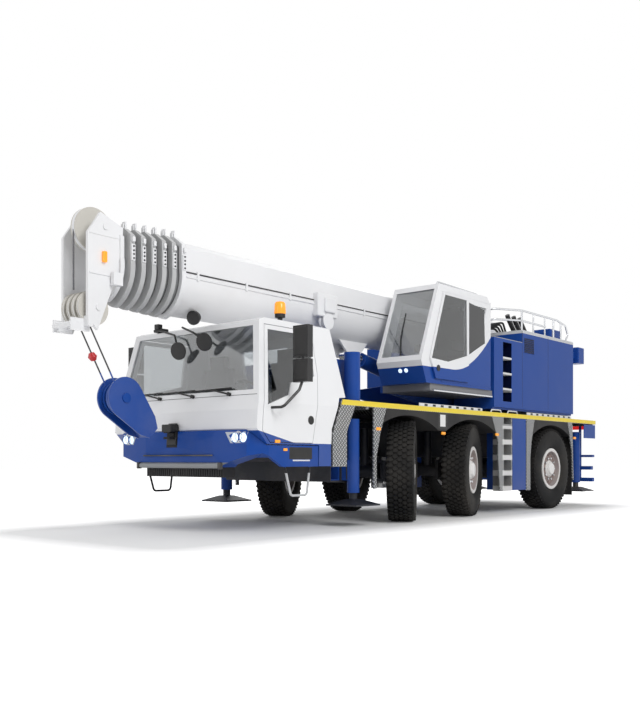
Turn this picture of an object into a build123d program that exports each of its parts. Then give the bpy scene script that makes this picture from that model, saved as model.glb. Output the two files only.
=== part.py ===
# Three-axle all-terrain mobile crane with a seven-section telescopic boom.
# Millimetres. +X forward, +Y left, +Z up, origin on the ground under the middle of the machine.
import os
from math import cos, radians, sin

from build123d import *

os.makedirs("parts", exist_ok=True)

# Stations along the machine, measured from the front axle
front_axle_x = 815.0
second_axle_back = 1630.0
third_axle_back = 4400.0
slew_back = 2400.0
front_outrigger_ahead = 1110.0
rear_outrigger_back = 5720.0
deck_front_ahead = 1180.0
deck_rear_back = 6250.0

# Running gear
track_width = 2165.0
tyre_diameter = 1400.0
tyre_width = 385.0
bead_diameter = 640.0
bead_width = 300.0
flange_height = 35.0
kingpin_inset = 240.0
kingpin_radius = 30.0
drum_radius = 190.0
spindle_radius = 70.0
running_clearance = 2.0
seat_clearance = 0.3
rest_steer = {
    (1, "left"): 32.0,
    (1, "right"): 27.0,
    (2, "left"): 19.0,
    (2, "right"): 16.0,
    (3, "left"): 0.0,
    (3, "right"): 0.0,
}

# Chassis and deck
body_width = 2550.0
frame_width = 800.0
frame_bottom_z = 900.0
frame_top_z = 1500.0
frame_wall = 20.0
deck_top_z = 1600.0
deck_sheet = 20.0
deck_edge_height = 70.0
skirt_thickness = 20.0

# Outriggers
beam_width = 190.0
beam_height = 260.0
beam_wall = 12.0
beam_lane_offset = 110.0
beam_centre_z = 720.0
outrigger_box_half = 950.0
outrigger_box_wall = 15.0
jack_reach = 1060.0
jack_tube_radius = 80.0
jack_rod_radius = 52.0
jack_tube_bottom_z = 430.0
jack_tube_top_z = 1380.0
float_size = 500.0
float_bottom_z = 265.0

# Driver's cab
cab_wall = 60.0
cab_roof_z = 2477.0
cab_floor_z = 1030.0
cab_front_ahead = 2990.0
cab_roof_front_ahead = 2780.0
cab_roof_rear_ahead = 1530.0
cab_waist_z = 1500.0
cab_roof_width = 2200.0
glass_thickness = 6.0
door_gap = 8.0

# Superstructure
slew_ring_radius = 620.0
turntable_bottom_z = 1660.0
turntable_plate = 100.0
turntable_cheek = 40.0
boom_side_gap = 40.0
tail_back = 5290.0
housing_top_z = 3000.0
step_block_top_z = 2800.0
step_block_front_back = 2350.0
housing_front_back = 3300.0
housing_inner_y = 520.0
superstructure_half = 1250.0

# Boom
boom_width = 620.0
boom_height = 840.0
boom_bottom_z = 2545.0
boom_pivot_back = 4400.0
boom_pivot_drop = 200.0
boom_rear_back = 4550.0
collar_front_ahead = 3270.0
collar_pitch = 138.0
collar_length = 60.0
collar_rise = 42.0
collar_step = 8.0
section_inset = 24.0
section_wall = 8.0
section_count = 6
head_front_ahead = 4450.0

# Operator's cab
opcab_front_back = 290.0
opcab_rear_back = 2240.0
opcab_inner_y = 480.0
opcab_bottom_z = 1940.0
opcab_top_z = 3380.0
opcab_wall = 45.0

# Worked-out stations
axle_x = {
    1: front_axle_x,
    2: front_axle_x - second_axle_back,
    3: front_axle_x - third_axle_back,
}
axle_z = tyre_diameter / 2
kingpin_y = track_width / 2 - kingpin_inset
slew_x = front_axle_x - slew_back
body_half = body_width / 2
frame_half = frame_width / 2
deck_front_x = front_axle_x + deck_front_ahead
deck_rear_x = front_axle_x - deck_rear_back
deck_length = deck_front_x - deck_rear_x
side_sign = {"left": 1, "right": -1}
bead_radius = bead_diameter / 2
flange_radius = bead_radius + flange_height


def from_axle(ahead):
    """Station that many millimetres ahead of the front axle."""
    return front_axle_x + ahead


def wheel_place(number, side):
    """Kingpin point, wheel centre and outboard direction of one wheel at rest."""
    angle = radians(rest_steer[number, side])
    outward = Vector(-sin(angle), cos(angle), 0) * side_sign[side]
    kingpin = Vector(axle_x[number], side_sign[side] * kingpin_y, axle_z)
    return kingpin, kingpin + outward * kingpin_inset, outward


def across_plane(centre, outward):
    """Sketch plane through a wheel's axis: local x outboard, local y up."""
    return Plane(origin=centre, x_dir=outward, z_dir=outward.cross(Vector(0, 0, 1)))


# Wheels: tyre, rim and knuckle at each corner
tyre_half = tyre_width / 2
tyre_radius = tyre_diameter / 2
bead_half = bead_width / 2
bead_lip_r = flange_radius + 4
shoulder_r = tyre_radius - 55
crown_half = tyre_half - 58
rim_wall = 18.0
rim_edge = 13.0
hub_radius = 150.0
hub_face = 150.0
disc_rim_w = 70.0
disc_hub_w = 105.0
disc_thickness = 25.0
hub_inner_w = -25.0
hand_hole_radius = 24.0
hand_hole_circle = 228.0
hand_hole_count = 10
knuckle_boss_radius = 75.0
knuckle_boss_half = 105.0
knuckle_stub_radius = 66.0
drum_start = 80.0
drum_end = 205.0
spindle_end = kingpin_inset + 100.0

for number in (1, 2, 3):
    for side in ("left", "right"):
        kingpin, centre, outward = wheel_place(number, side)
        wheel_axis = Axis(centre, outward)
        section = across_plane(centre, outward)

        with BuildPart() as tyre:
            with BuildSketch(section):
                with BuildLine():
                    Line((-bead_half, bead_radius), (bead_half, bead_radius))
                    for way in (1, -1):
                        Line((way * bead_half, bead_radius), (way * bead_half, bead_lip_r))
                        ThreePointArc(
                            (way * bead_half, bead_lip_r),
                            (way * tyre_half, (bead_lip_r + shoulder_r) / 2),
                            (way * (tyre_half - 12), shoulder_r),
                        )
                        ThreePointArc(
                            (way * (tyre_half - 12), shoulder_r),
                            (way * (tyre_half - 24), tyre_radius - 17),
                            (way * crown_half, tyre_radius),
                        )
                    Line((-crown_half, tyre_radius), (crown_half, tyre_radius))
                make_face()
            revolve(axis=wheel_axis)
        tyre.part.label = f"tyre_{number}_{side}"
        export_step(tyre.part, f"parts/tyre_{number}_{side}.step")

        seat_r = bead_radius - seat_clearance
        inner_r = bead_radius - rim_wall
        edge_w = bead_half + seat_clearance * 4
        with BuildPart() as rim:
            with BuildSketch(section):
                with BuildLine():
                    Polyline(
                        (-edge_w - rim_edge, flange_radius),
                        (-edge_w, flange_radius),
                        (-edge_w, seat_r),
                        (edge_w, seat_r),
                        (edge_w, flange_radius),
                        (edge_w + rim_edge, flange_radius),
                        (edge_w + rim_edge, inner_r),
                        (disc_rim_w + disc_thickness, inner_r),
                        (disc_hub_w, hub_radius + 12),
                        (hub_face - 20, hub_radius - 8),
                        (hub_face, hub_radius - 30),
                        (hub_face, 0),
                        (hub_face - 35, 0),
                        (hub_face - 35, spindle_radius + running_clearance),
                        (hub_inner_w, spindle_radius + running_clearance),
                        (hub_inner_w, hub_radius),
                        (disc_hub_w - disc_thickness, hub_radius),
                        (disc_rim_w, inner_r),
                        (-edge_w - rim_edge, inner_r),
                        close=True,
                    )
                make_face()
            revolve(axis=wheel_axis)
            face_plane = Plane(origin=centre + outward * hub_face, x_dir=(0, 0, 1), z_dir=outward)
            with BuildSketch(face_plane):
                with PolarLocations(hand_hole_circle, hand_hole_count):
                    Circle(hand_hole_radius)
            extrude(amount=-hub_face, mode=Mode.SUBTRACT)
        rim.part.label = f"rim_{number}_{side}"
        export_step(rim.part, f"parts/rim_{number}_{side}.step")

        with BuildPart() as knuckle:
            with BuildSketch(Plane.XY.offset(axle_z - knuckle_boss_half)):
                with Locations((kingpin.X, kingpin.Y)):
                    Circle(knuckle_boss_radius)
            extrude(amount=2 * knuckle_boss_half)
            pin_plane = Plane(origin=kingpin, x_dir=(0, 0, 1), z_dir=outward)
            with BuildSketch(pin_plane):
                Circle(knuckle_stub_radius)
            extrude(amount=drum_start + 5)
            with BuildSketch(pin_plane.offset(drum_start)):
                Circle(drum_radius)
            extrude(amount=drum_end - drum_start)
            with BuildSketch(pin_plane.offset(drum_end)):
                Circle(spindle_radius)
            extrude(amount=spindle_end - drum_end)
            with BuildSketch(Plane.XY.offset(axle_z - knuckle_boss_half)):
                with Locations((kingpin.X, kingpin.Y)):
                    Circle(kingpin_radius + running_clearance / 2)
            extrude(amount=2 * knuckle_boss_half, mode=Mode.SUBTRACT)
        knuckle.part.label = f"knuckle_{number}_{side}"
        export_step(knuckle.part, f"parts/knuckle_{number}_{side}.step")

# Axles: bevel-gear housing, tube, forked ends with kingpins, and suspension cylinders
axle_tube_radius = 95.0
gear_case_radius = 180.0
fork_half_height = 150.0
fork_gap = 5.0
fork_back = 110.0
fork_plate = 60.0
fork_half_width = 70.0
strut_radius = 65.0
strut_y = 480.0
strut_top_z = 1300.0

with BuildPart() as axles:
    for number in (1, 2, 3):
        x = axle_x[number]
        tube_end = kingpin_y - fork_back
        with BuildSketch(Plane(origin=(x, 0, axle_z), x_dir=(0, 1, 0), z_dir=(1, 0, 0))):
            with BuildLine():
                Polyline(
                    (-tube_end, 0),
                    (-tube_end, axle_tube_radius),
                    (-gear_case_radius * 1.9, axle_tube_radius),
                    (-gear_case_radius, gear_case_radius),
                    (gear_case_radius, gear_case_radius),
                    (gear_case_radius * 1.9, axle_tube_radius),
                    (tube_end, axle_tube_radius),
                    (tube_end, 0),
                    close=True,
                )
            make_face()
        revolve(axis=Axis((x, 0, axle_z), (0, 1, 0)))
        for way in (1, -1):
            plate_y = way * (kingpin_y - fork_back - fork_plate / 2)
            ear_inner = knuckle_boss_half + fork_gap
            ear_height = fork_half_height - ear_inner
            with Locations((x, plate_y, axle_z)):
                Box(2 * fork_half_width + 40, fork_plate, 2 * fork_half_height)
            for level in (1, -1):
                ear_z = axle_z + level * (ear_inner + ear_height / 2)
                with Locations((x, way * (kingpin_y - fork_back / 2), ear_z)):
                    Box(2 * fork_half_width, fork_back, ear_height)
                with Locations((x, way * kingpin_y, ear_z)):
                    Cylinder(fork_half_width, ear_height)
            with Locations((x, way * kingpin_y, axle_z)):
                Cylinder(kingpin_radius, 2 * fork_half_height)
            strut_height = strut_top_z - axle_z
            with Locations((x, way * strut_y, axle_z + strut_height / 2)):
                Cylinder(strut_radius, strut_height)
axles.part.label = "axles"
export_step(axles.part, "parts/axles.step")

# Chassis: hollow box frame, front rails, outrigger boxes, strut brackets, slewing pedestal
frame_front_x = from_axle(1350.0)
frame_rear_x = deck_rear_x + 100
rail_width = 60.0
rail_bottom_z = 830.0
rail_front_x = from_axle(2760.0)
bracket_half = 110.0
bracket_height = 130.0
pedestal_top_z = turntable_bottom_z - 35
ring_gap = 0.5
lane_pitch = 2 * beam_lane_offset
box_length = lane_pitch + beam_width + 2 * outrigger_box_wall + 10
box_bottom_z = beam_centre_z - beam_height / 2 - outrigger_box_wall - 3
beam_fit = 3.0
outrigger_x = {
    "front": from_axle(front_outrigger_ahead),
    "rear": from_axle(-rear_outrigger_back),
}

with BuildPart() as chassis_frame:
    frame_mid = (frame_front_x + frame_rear_x) / 2
    frame_height = frame_top_z - frame_bottom_z
    with BuildSketch(Plane.YZ.offset(frame_rear_x)):
        with Locations((0, frame_bottom_z + frame_height / 2)):
            Rectangle(frame_width, frame_height)
            Rectangle(frame_width - 2 * frame_wall, frame_height - 2 * frame_wall, mode=Mode.SUBTRACT)
    extrude(amount=frame_front_x - frame_rear_x)
    for way in (1, -1):
        rail_y = way * (frame_half - rail_width / 2)
        with BuildSketch(Plane.XY.offset(rail_bottom_z)):
            with Locations(((rail_front_x + frame_front_x) / 2 - 100, rail_y)):
                Rectangle(rail_front_x - frame_front_x + 200, rail_width)
        extrude(amount=cab_floor_z - rail_bottom_z)
        for number in (1, 2, 3):
            with Locations((axle_x[number], way * (strut_y + frame_half - strut_radius / 2) / 2 + way * 50,
                            strut_top_z + bracket_height / 2)):
                Box(2 * bracket_half, strut_y - frame_half + 2 * strut_radius + 30, bracket_height)
    for place in ("front", "rear"):
        x = outrigger_x[place]
        box_height = frame_bottom_z + frame_wall - box_bottom_z
        with Locations((x, 0, box_bottom_z + box_height / 2)):
            Box(box_length, 2 * outrigger_box_half, box_height)
        for lane in (1, -1):
            with Locations((x + lane * beam_lane_offset, 0, beam_centre_z)):
                Box(beam_width + 2 * beam_fit, 2 * outrigger_box_half, beam_height + 2 * beam_fit,
                    mode=Mode.SUBTRACT)
    with BuildSketch(Plane.XY.offset(frame_top_z - frame_wall / 2)):
        with Locations((slew_x, 0)):
            Circle(slew_ring_radius)
    extrude(amount=pedestal_top_z - frame_top_z + frame_wall / 2)
chassis_frame.part.label = "chassis_frame"
export_step(chassis_frame.part, "parts/chassis_frame.step")

# Engine: plain block standing in the frame
engine_length = 1050.0
engine_width = 640.0
engine_height = 520.0
with BuildPart() as engine_block:
    engine_floor_z = frame_bottom_z + frame_wall
    with Locations((from_axle(780.0), 0, engine_floor_z + engine_height / 2)):
        Box(engine_length, engine_width, engine_height)
engine_block.part.label = "engine_block"
export_step(engine_block.part, "parts/engine_block.step")

# Outrigger beams with jack tubes, and jacks with floats
outrigger_lane = {"left": -1, "right": 1}
for place in ("front", "rear"):
    for side in ("left", "right"):
        way = side_sign[side]
        x = outrigger_x[place] + outrigger_lane[side] * beam_lane_offset
        jack_y = way * jack_reach
        beam_inner_y = -way * (outrigger_box_half - 20)
        with BuildPart() as beam:
            with BuildSketch(Plane(origin=(x, beam_inner_y, beam_centre_z), x_dir=(way, 0, 0), z_dir=(0, way, 0))):
                Rectangle(beam_width, beam_height)
                Rectangle(beam_width - 2 * beam_wall, beam_height - 2 * beam_wall, mode=Mode.SUBTRACT)
            extrude(amount=jack_reach + outrigger_box_half - 20)
            with BuildSketch(Plane.XY.offset(jack_tube_bottom_z)):
                with Locations((x, jack_y)):
                    Circle(jack_tube_radius)
            extrude(amount=jack_tube_top_z - jack_tube_bottom_z)
            with BuildSketch(Plane.XY.offset(jack_tube_bottom_z)):
                with Locations((x, jack_y)):
                    Circle(jack_rod_radius + running_clearance)
            extrude(amount=jack_tube_top_z - jack_tube_bottom_z - 40, mode=Mode.SUBTRACT)
        beam.part.label = f"outrigger_beam_{place}_{side}"
        export_step(beam.part, f"parts/outrigger_beam_{place}_{side}.step")

        float_sheet = 22.0
        float_cone = 60.0
        with BuildPart() as jack:
            with BuildSketch(Plane.XY.offset(float_bottom_z)):
                with Locations((x, jack_y)):
                    Rectangle(float_size, float_size)
            extrude(amount=float_sheet)
            with BuildSketch(Plane.XY.offset(float_bottom_z + float_sheet)):
                with Locations((x, jack_y)):
                    Rectangle(float_size - 30, float_size - 30)
            with BuildSketch(Plane.XY.offset(float_bottom_z + float_sheet + float_cone)):
                with Locations((x, jack_y)):
                    Rectangle(3 * jack_rod_radius, 3 * jack_rod_radius)
            loft()
            with BuildSketch(Plane.XY.offset(float_bottom_z + float_sheet)):
                with Locations((x, jack_y)):
                    Circle(jack_rod_radius)
            extrude(amount=jack_tube_top_z - 150 - float_bottom_z)
        jack.part.label = f"jack_{place}_{side}"
        export_step(jack.part, f"parts/jack_{place}_{side}.step")

# Deck: chequer-plate floor with edge rails, cross-bearers, hanging side plates and ladders
bearer_width = 60.0
bearer_steps = (0.03, 0.20, 0.70, 0.86, 0.985)
plate_a = ((1170, 1531), (1170, 1600), (1480, 1600), (1660, 1210), (1675, 1150), (1675, 770),
           (1400, 770), (1400, 1200), (1230, 1531))
plate_b = ((840, 1540), (560, 1540), (700, 1200), (780, 900), (780, 480), (840, 480))
plate_c = ((-2240, 1540), (-2590, 1540), (-2590, 355), (-2500, 355), (-2440, 900), (-2440, 1150))
plate_d = ((-3400, 1540), (-3700, 1540), (-3580, 1150), (-3540, 900), (-3540, 350), (-3400, 350))
plate_e = ((-5000, 1540), (-5200, 1540), (-5255, 490), (-5225, 490), (-5190, 1000))
ladder_front_back = 2590.0
ladder_rear_back = 2900.0
ladder_rail = 30.0
ladder_depth = 180.0
ladder_bottom_z = 355.0
tread_count = 5
tread_height = 75.0

with BuildPart() as deck:
    deck_mid_x = (deck_front_x + deck_rear_x) / 2
    with Locations((deck_mid_x, 0, deck_top_z - deck_sheet / 2)):
        Box(deck_length, body_width, deck_sheet)
    for way in (1, -1):
        with Locations((deck_mid_x, way * (body_half - skirt_thickness), deck_top_z - deck_edge_height / 2)):
            Box(deck_length, 2 * skirt_thickness, deck_edge_height)
    for share in bearer_steps:
        bearer_z = (deck_top_z - deck_sheet + frame_top_z) / 2
        with Locations((deck_front_x - share * deck_length, 0, bearer_z)):
            Box(bearer_width, body_width - 2 * skirt_thickness, deck_top_z - deck_sheet - frame_top_z)
    with BuildSketch(Plane.XY.offset(frame_top_z)):
        with Locations((slew_x, 0)):
            Circle(slew_ring_radius + 25)
    extrude(amount=deck_top_z - frame_top_z, mode=Mode.SUBTRACT)
    for way in (1, -1):
        outer_y = way * body_half
        for outline in (plate_a, plate_b, plate_c, plate_d, plate_e):
            with BuildSketch(Plane.XZ.offset(-outer_y)):
                with BuildLine():
                    Polyline(*[(from_axle(px), pz) for px, pz in outline], close=True)
                make_face()
            extrude(amount=way * skirt_thickness)
        ladder_mid = from_axle(-(ladder_front_back + ladder_rear_back) / 2)
        ladder_length = ladder_rear_back - ladder_front_back
        ladder_y = way * (body_half - ladder_depth / 2)
        for end in (1, -1):
            with Locations((ladder_mid + end * (ladder_length - ladder_rail) / 2, ladder_y,
                            (ladder_bottom_z + deck_top_z - deck_sheet) / 2)):
                Box(ladder_rail, ladder_depth, deck_top_z - deck_sheet - ladder_bottom_z)
        for step in range(tread_count):
            tread_z = ladder_bottom_z + tread_height / 2 + step * (deck_top_z - ladder_bottom_z) / tread_count
            with Locations((ladder_mid, ladder_y, tread_z)):
                Box(ladder_length, ladder_depth, tread_height)
deck.part.label = "deck"
export_step(deck.part, "parts/deck.step")

# Mudguards: side fascia with flat-topped arches, arch sheets behind it, rear mudflaps
arch_radius = 1546.0
arch_rise_z = 1457.0
arch_sheet = 8.0
arch_inner_y = 870.0
fascia_low_z = 1270.0
fascia_top_z = deck_top_z - deck_edge_height
front_fascia = ((552, fascia_top_z), (660, fascia_low_z), (-2372, fascia_low_z), (-2236, fascia_top_z))
rear_fascia = ((-3706, fascia_top_z), (-3625, fascia_low_z), (-5088, fascia_low_z), (-4994, fascia_top_z))
front_arches = (40.0, -1640.0)
rear_arches = (-4350.0,)
flap_back = 5215.0
flap_thickness = 15.0
flap_low_z = 215.0
flap_top_z = 1290.0


def fascia(outline, arches, radius):
    """Side fascia outline with its arches cut at that radius, in local x and z."""
    with BuildSketch() as face:
        with BuildLine():
            Polyline(*[(from_axle(px), pz) for px, pz in outline], close=True)
        make_face()
        with Locations(*[(from_axle(cx), arch_rise_z - arch_radius) for cx in arches]):
            Circle(radius, mode=Mode.SUBTRACT)
    return face.sketch


with BuildPart() as mudguards:
    sheet_width = body_half - skirt_thickness - arch_inner_y
    for way in (1, -1):
        for outline, arches in ((front_fascia, front_arches), (rear_fascia, rear_arches)):
            with BuildSketch(Plane.XZ.offset(-way * body_half)):
                add(fascia(outline, arches, arch_radius))
            extrude(amount=way * skirt_thickness)
            with BuildSketch(Plane.XZ.offset(-way * (body_half - skirt_thickness))):
                add(fascia(outline, arches, arch_radius))
                add(fascia(outline, arches, arch_radius + arch_sheet), mode=Mode.SUBTRACT)
            extrude(amount=way * sheet_width)
        with Locations((from_axle(-flap_back - flap_thickness / 2), way * (arch_inner_y + sheet_width / 2),
                        (flap_low_z + flap_top_z) / 2)):
            Box(flap_thickness, sheet_width, flap_top_z - flap_low_z)
mudguards.part.label = "mudguards"
export_step(mudguards.part, "parts/mudguards.step")

# Boxes: storage lockers hanging under the deck, engine cover and silencer standing on it
locker_front_back = 2925.0
locker_rear_back = 3385.0
locker_depth = 470.0
locker_bottom_z = 360.0
cover_front_ahead = 1345.0
cover_rear_ahead = 820.0
cover_half = 930.0
cover_top_z = 2150.0
silencer_radius = 105.0
silencer_ahead = 1060.0
silencer_y = 1090.0
silencer_top_z = 2230.0

with BuildPart() as deck_boxes:
    for way in (1, -1):
        locker_x = from_axle(-(locker_front_back + locker_rear_back) / 2)
        with Locations((locker_x, way * (body_half - 5 - locker_depth / 2), (locker_bottom_z + fascia_top_z) / 2)):
            Box(locker_rear_back - locker_front_back, locker_depth, fascia_top_z - locker_bottom_z)
        with Locations((from_axle(silencer_ahead), way * silencer_y, (deck_top_z + silencer_top_z) / 2)):
            Cylinder(silencer_radius, silencer_top_z - deck_top_z)
    with Locations((from_axle((cover_front_ahead + cover_rear_ahead) / 2), 0, (deck_top_z + cover_top_z) / 2)):
        Box(cover_front_ahead - cover_rear_ahead, 2 * cover_half, cover_top_z - deck_top_z)
deck_boxes.part.label = "deck_boxes"
export_step(deck_boxes.part, "parts/deck_boxes.step")

# Front bumper: wrapped blue shell with chamfered lower corners, grey bar, lower grille, step loops
bumper_front_ahead = 3040.0
bumper_rear_ahead = 1950.0
bumper_top_z = 1190.0
sill_top_z = 1018.0
bumper_bottom_z = 770.0
bumper_wall = 50.0
bumper_back_ahead = 2760.0
headlight_radius = 52.0
headlight_spots = (930.0, 1055.0)
headlight_z = 1105.0
headlight_depth = 25.0
pocket_floor_ahead = 2962.0
bar_radius = 30.0
bar_half = 720.0
grille_bottom_z = 650.0
jaw_pin_ahead = 3080.0
jaw_y = -100.0
jaw_z = 1150.0
jaw_length = 130.0
jaw_width = 110.0
jaw_height = 100.0
jaw_slot = 45.0
jaw_bore_radius = 21.0
step_tube_radius = 14.0
step_y = 1235.0
step_loop = ((2500, 790), (2390, 440), (2110, 440), (2060, 790))

with BuildPart() as front_bumper:
    with BuildSketch(Plane.XZ):
        with BuildLine():
            Polyline(
                (from_axle(bumper_rear_ahead), bumper_bottom_z),
                (from_axle(bumper_rear_ahead), sill_top_z),
                (from_axle(2818), sill_top_z),
                (from_axle(2985), bumper_top_z),
                (from_axle(bumper_front_ahead - 15), bumper_top_z),
                (from_axle(bumper_front_ahead), 1000),
                (from_axle(bumper_front_ahead - 20), 830),
                (from_axle(bumper_front_ahead - 60), bumper_bottom_z),
                close=True,
            )
        make_face()
    extrude(amount=body_half, both=True)
    with BuildSketch(Plane.YZ):
        with BuildLine():
            Polyline(
                (-body_half, 940),
                (-740, 800),
                (-700, bumper_bottom_z),
                (700, bumper_bottom_z),
                (740, 800),
                (body_half, 940),
                (body_half, bumper_top_z),
                (-body_half, bumper_top_z),
                close=True,
            )
        make_face()
    extrude(amount=from_axle(bumper_front_ahead + 10), mode=Mode.INTERSECT)
    with BuildSketch(Plane.XZ):
        with BuildLine():
            Polyline(
                (from_axle(bumper_rear_ahead), bumper_bottom_z + 5),
                (from_axle(bumper_rear_ahead), sill_top_z),
                (from_axle(2800), sill_top_z),
                (from_axle(2880), 945),
                (from_axle(2570), bumper_bottom_z + 5),
                close=True,
            )
        make_face()
    extrude(amount=body_half, both=True)
    with BuildSketch(Plane.XY.offset(bumper_bottom_z - 10)):
        with BuildLine():
            Polyline(
                (from_axle(bumper_rear_ahead), -body_half),
                (from_axle(2800), -body_half),
                (from_axle(2985), -1110),
                (from_axle(bumper_front_ahead - 10), -600),
                (from_axle(bumper_front_ahead), 0),
                (from_axle(bumper_front_ahead - 10), 600),
                (from_axle(2985), 1110),
                (from_axle(2800), body_half),
                (from_axle(bumper_rear_ahead), body_half),
                close=True,
            )
        make_face()
    extrude(amount=bumper_top_z - bumper_bottom_z + 20, mode=Mode.INTERSECT)
    cavity_length = bumper_back_ahead - bumper_rear_ahead + 20
    with Locations((from_axle(bumper_back_ahead) - cavity_length / 2, 0, bumper_top_z - 200)):
        Box(cavity_length, body_width - 2 * bumper_wall, 1000, mode=Mode.SUBTRACT)
    for way in (1, -1):
        for spot in headlight_spots:
            with BuildSketch(Plane.YZ.offset(from_axle(pocket_floor_ahead))):
                with Locations((way * spot, headlight_z)):
                    Circle(headlight_radius + 5)
            extrude(amount=bumper_front_ahead - pocket_floor_ahead, mode=Mode.SUBTRACT)
        with BuildLine(Plane.XZ.offset(-way * step_y)):
            loop = FilletPolyline(*[(from_axle(px), pz) for px, pz in step_loop], radius=50)
        with BuildSketch(Plane(origin=loop @ 0, z_dir=loop % 0)):
            Circle(step_tube_radius)
        sweep(path=loop)
    with Locations((from_axle(jaw_pin_ahead) - 25, jaw_y, jaw_z)):
        Box(jaw_length, jaw_width, jaw_height)
    with Locations((from_axle(jaw_pin_ahead) + jaw_length / 2 - 25, jaw_y, jaw_z)):
        Box(jaw_length, jaw_width, jaw_slot, mode=Mode.SUBTRACT)
    with Locations((from_axle(jaw_pin_ahead), jaw_y, jaw_z)):
        Cylinder(jaw_bore_radius, jaw_height + 2, mode=Mode.SUBTRACT)
    with BuildSketch(Plane.XZ):
        with Locations((from_axle(bumper_front_ahead - 25), 785)):
            Circle(bar_radius)
    extrude(amount=bar_half, both=True)
    with Locations((from_axle(2850), 0, (grille_bottom_z + bumper_bottom_z) / 2 + 5)):
        Box(180, 2 * bar_half - 60, bumper_bottom_z - grille_bottom_z + 10)
front_bumper.part.label = "front_bumper"
export_step(front_bumper.part, "parts/front_bumper.step")

# Lamps: headlights in their pockets and tail lamps on the rear edge of the deck
tail_lamp_length = 320.0
tail_lamp_height = 110.0
tail_lamp_y = 1000.0
with BuildPart() as lamps:
    for way in (1, -1):
        for spot in headlight_spots:
            with BuildSketch(Plane.YZ.offset(from_axle(pocket_floor_ahead))):
                with Locations((way * spot, headlight_z)):
                    Circle(headlight_radius)
            extrude(amount=headlight_depth)
        with Locations((deck_rear_x + 30, way * tail_lamp_y, fascia_top_z - 40)):
            Box(60, tail_lamp_length, tail_lamp_height)
lamps.part.label = "lamps"
export_step(lamps.part, "parts/lamps.step")

# Driver's cab: side outline and cross outline give its volume, walls are the volume less an inset one
cab_outline = (
    (cab_roof_rear_ahead, cab_roof_z),
    (cab_roof_front_ahead - 90, cab_roof_z),
    (cab_roof_front_ahead, cab_roof_z - 32),
    (cab_front_ahead - 15, 1420),
    (cab_front_ahead, 1205),
    (2822, cab_floor_z),
    (1705, cab_floor_z),
    (1695, 1225),
    (1525, 1615),
    (1400, 1625),
    (1455, 1990),
)


def cab_volume(side_inset, outline_inset):
    """Closed volume of the driver's cab, drawn in by the two insets."""
    waist_half = body_half - side_inset
    roof_half = cab_roof_width / 2 - side_inset
    lean = (waist_half - roof_half) / (cab_roof_z - cab_waist_z)
    with BuildPart() as volume:
        with BuildSketch(Plane.XZ):
            with BuildLine():
                Polyline(*[(from_axle(px), pz) for px, pz in cab_outline], close=True)
            make_face()
            if outline_inset:
                offset(amount=-outline_inset, kind=Kind.INTERSECTION)
        extrude(amount=body_half, both=True)
        with BuildSketch(Plane.YZ.offset(from_axle(1000))):
            with BuildLine():
                Polyline(
                    (-waist_half, 900),
                    (-waist_half, cab_waist_z),
                    (-roof_half + 100 * lean, cab_roof_z + 100),
                    (roof_half - 100 * lean, cab_roof_z + 100),
                    (waist_half, cab_waist_z),
                    (waist_half, 900),
                    close=True,
                )
            make_face()
        extrude(amount=2500, mode=Mode.INTERSECT)
    return volume.part


door_outline = ((1892, 2400), (2708, 2400), (2885, 1430), (2900, 1180), (2780, 1050), (2050, 1050),
                (1945, 1560), (1885, 1870))
door_window = ((1955, 2345), (2662, 2345), (2815, 1470), (2445, 1600), (2380, 1745), (1950, 1850))
screen_low_z = 1640.0
screen_top_z = 2385.0
screen_low_half = 1165.0
screen_top_half = 1020.0
rear_window_half = 420.0
rear_window_low_z = 1750.0
rear_window_top_z = 2300.0
door_thickness = 40.0
glass_inset = 16.0
pane_gap = 0.5


def side_prism(outline, grow, way):
    """Outline of points ahead of the front axle, grown and pushed through one side of the cab."""
    with BuildPart() as prism:
        with BuildSketch(Plane.XZ.offset(-way * 900)):
            with BuildLine():
                Polyline(*[(from_axle(px), pz) for px, pz in outline], close=True)
            make_face()
            if grow:
                offset(amount=grow, kind=Kind.INTERSECTION)
        extrude(amount=-way * 450)
    return prism.part


def screen_prism(grow):
    """Windscreen opening pushed through the front of the cab."""
    with BuildPart() as prism:
        with BuildSketch(Plane.YZ.offset(from_axle(2600))):
            with BuildLine():
                Polyline(
                    (-screen_low_half, screen_low_z),
                    (-screen_top_half, screen_top_z),
                    (screen_top_half, screen_top_z),
                    (screen_low_half, screen_low_z),
                    close=True,
                )
            make_face()
            if grow:
                offset(amount=grow, kind=Kind.INTERSECTION)
        extrude(amount=500)
    return prism.part


def rear_prism(grow):
    """Rear window opening pushed through the back wall of the cab."""
    with BuildPart() as prism:
        with Locations((from_axle(1450), 0, (rear_window_low_z + rear_window_top_z) / 2)):
            Box(300, 2 * (rear_window_half + grow), rear_window_top_z - rear_window_low_z + 2 * grow)
    return prism.part


def cab_openings(grow):
    """Windscreen and rear window openings together."""
    with BuildPart() as both:
        add(screen_prism(grow))
        add(rear_prism(grow))
    return both.part


leg_front_ahead = 1935.0
leg_rear_ahead = 1710.0
leg_bottom_z = 777.0
with BuildPart() as cab_shell:
    add(cab_volume(0, 0))
    add(cab_volume(cab_wall, cab_wall), mode=Mode.SUBTRACT)
    add(screen_prism(0), mode=Mode.SUBTRACT)
    add(rear_prism(0), mode=Mode.SUBTRACT)
    for way in (1, -1):
        add(side_prism(door_outline, door_gap / 2, way), mode=Mode.SUBTRACT)
        with Locations((from_axle((leg_front_ahead + leg_rear_ahead) / 2), way * (body_half - cab_wall / 2),
                        (leg_bottom_z + cab_floor_z + 20) / 2)):
            Box(leg_front_ahead - leg_rear_ahead, cab_wall, cab_floor_z + 20 - leg_bottom_z)
cab_shell.part.label = "cab_shell"
export_step(cab_shell.part, "parts/cab_shell.step")

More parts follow.
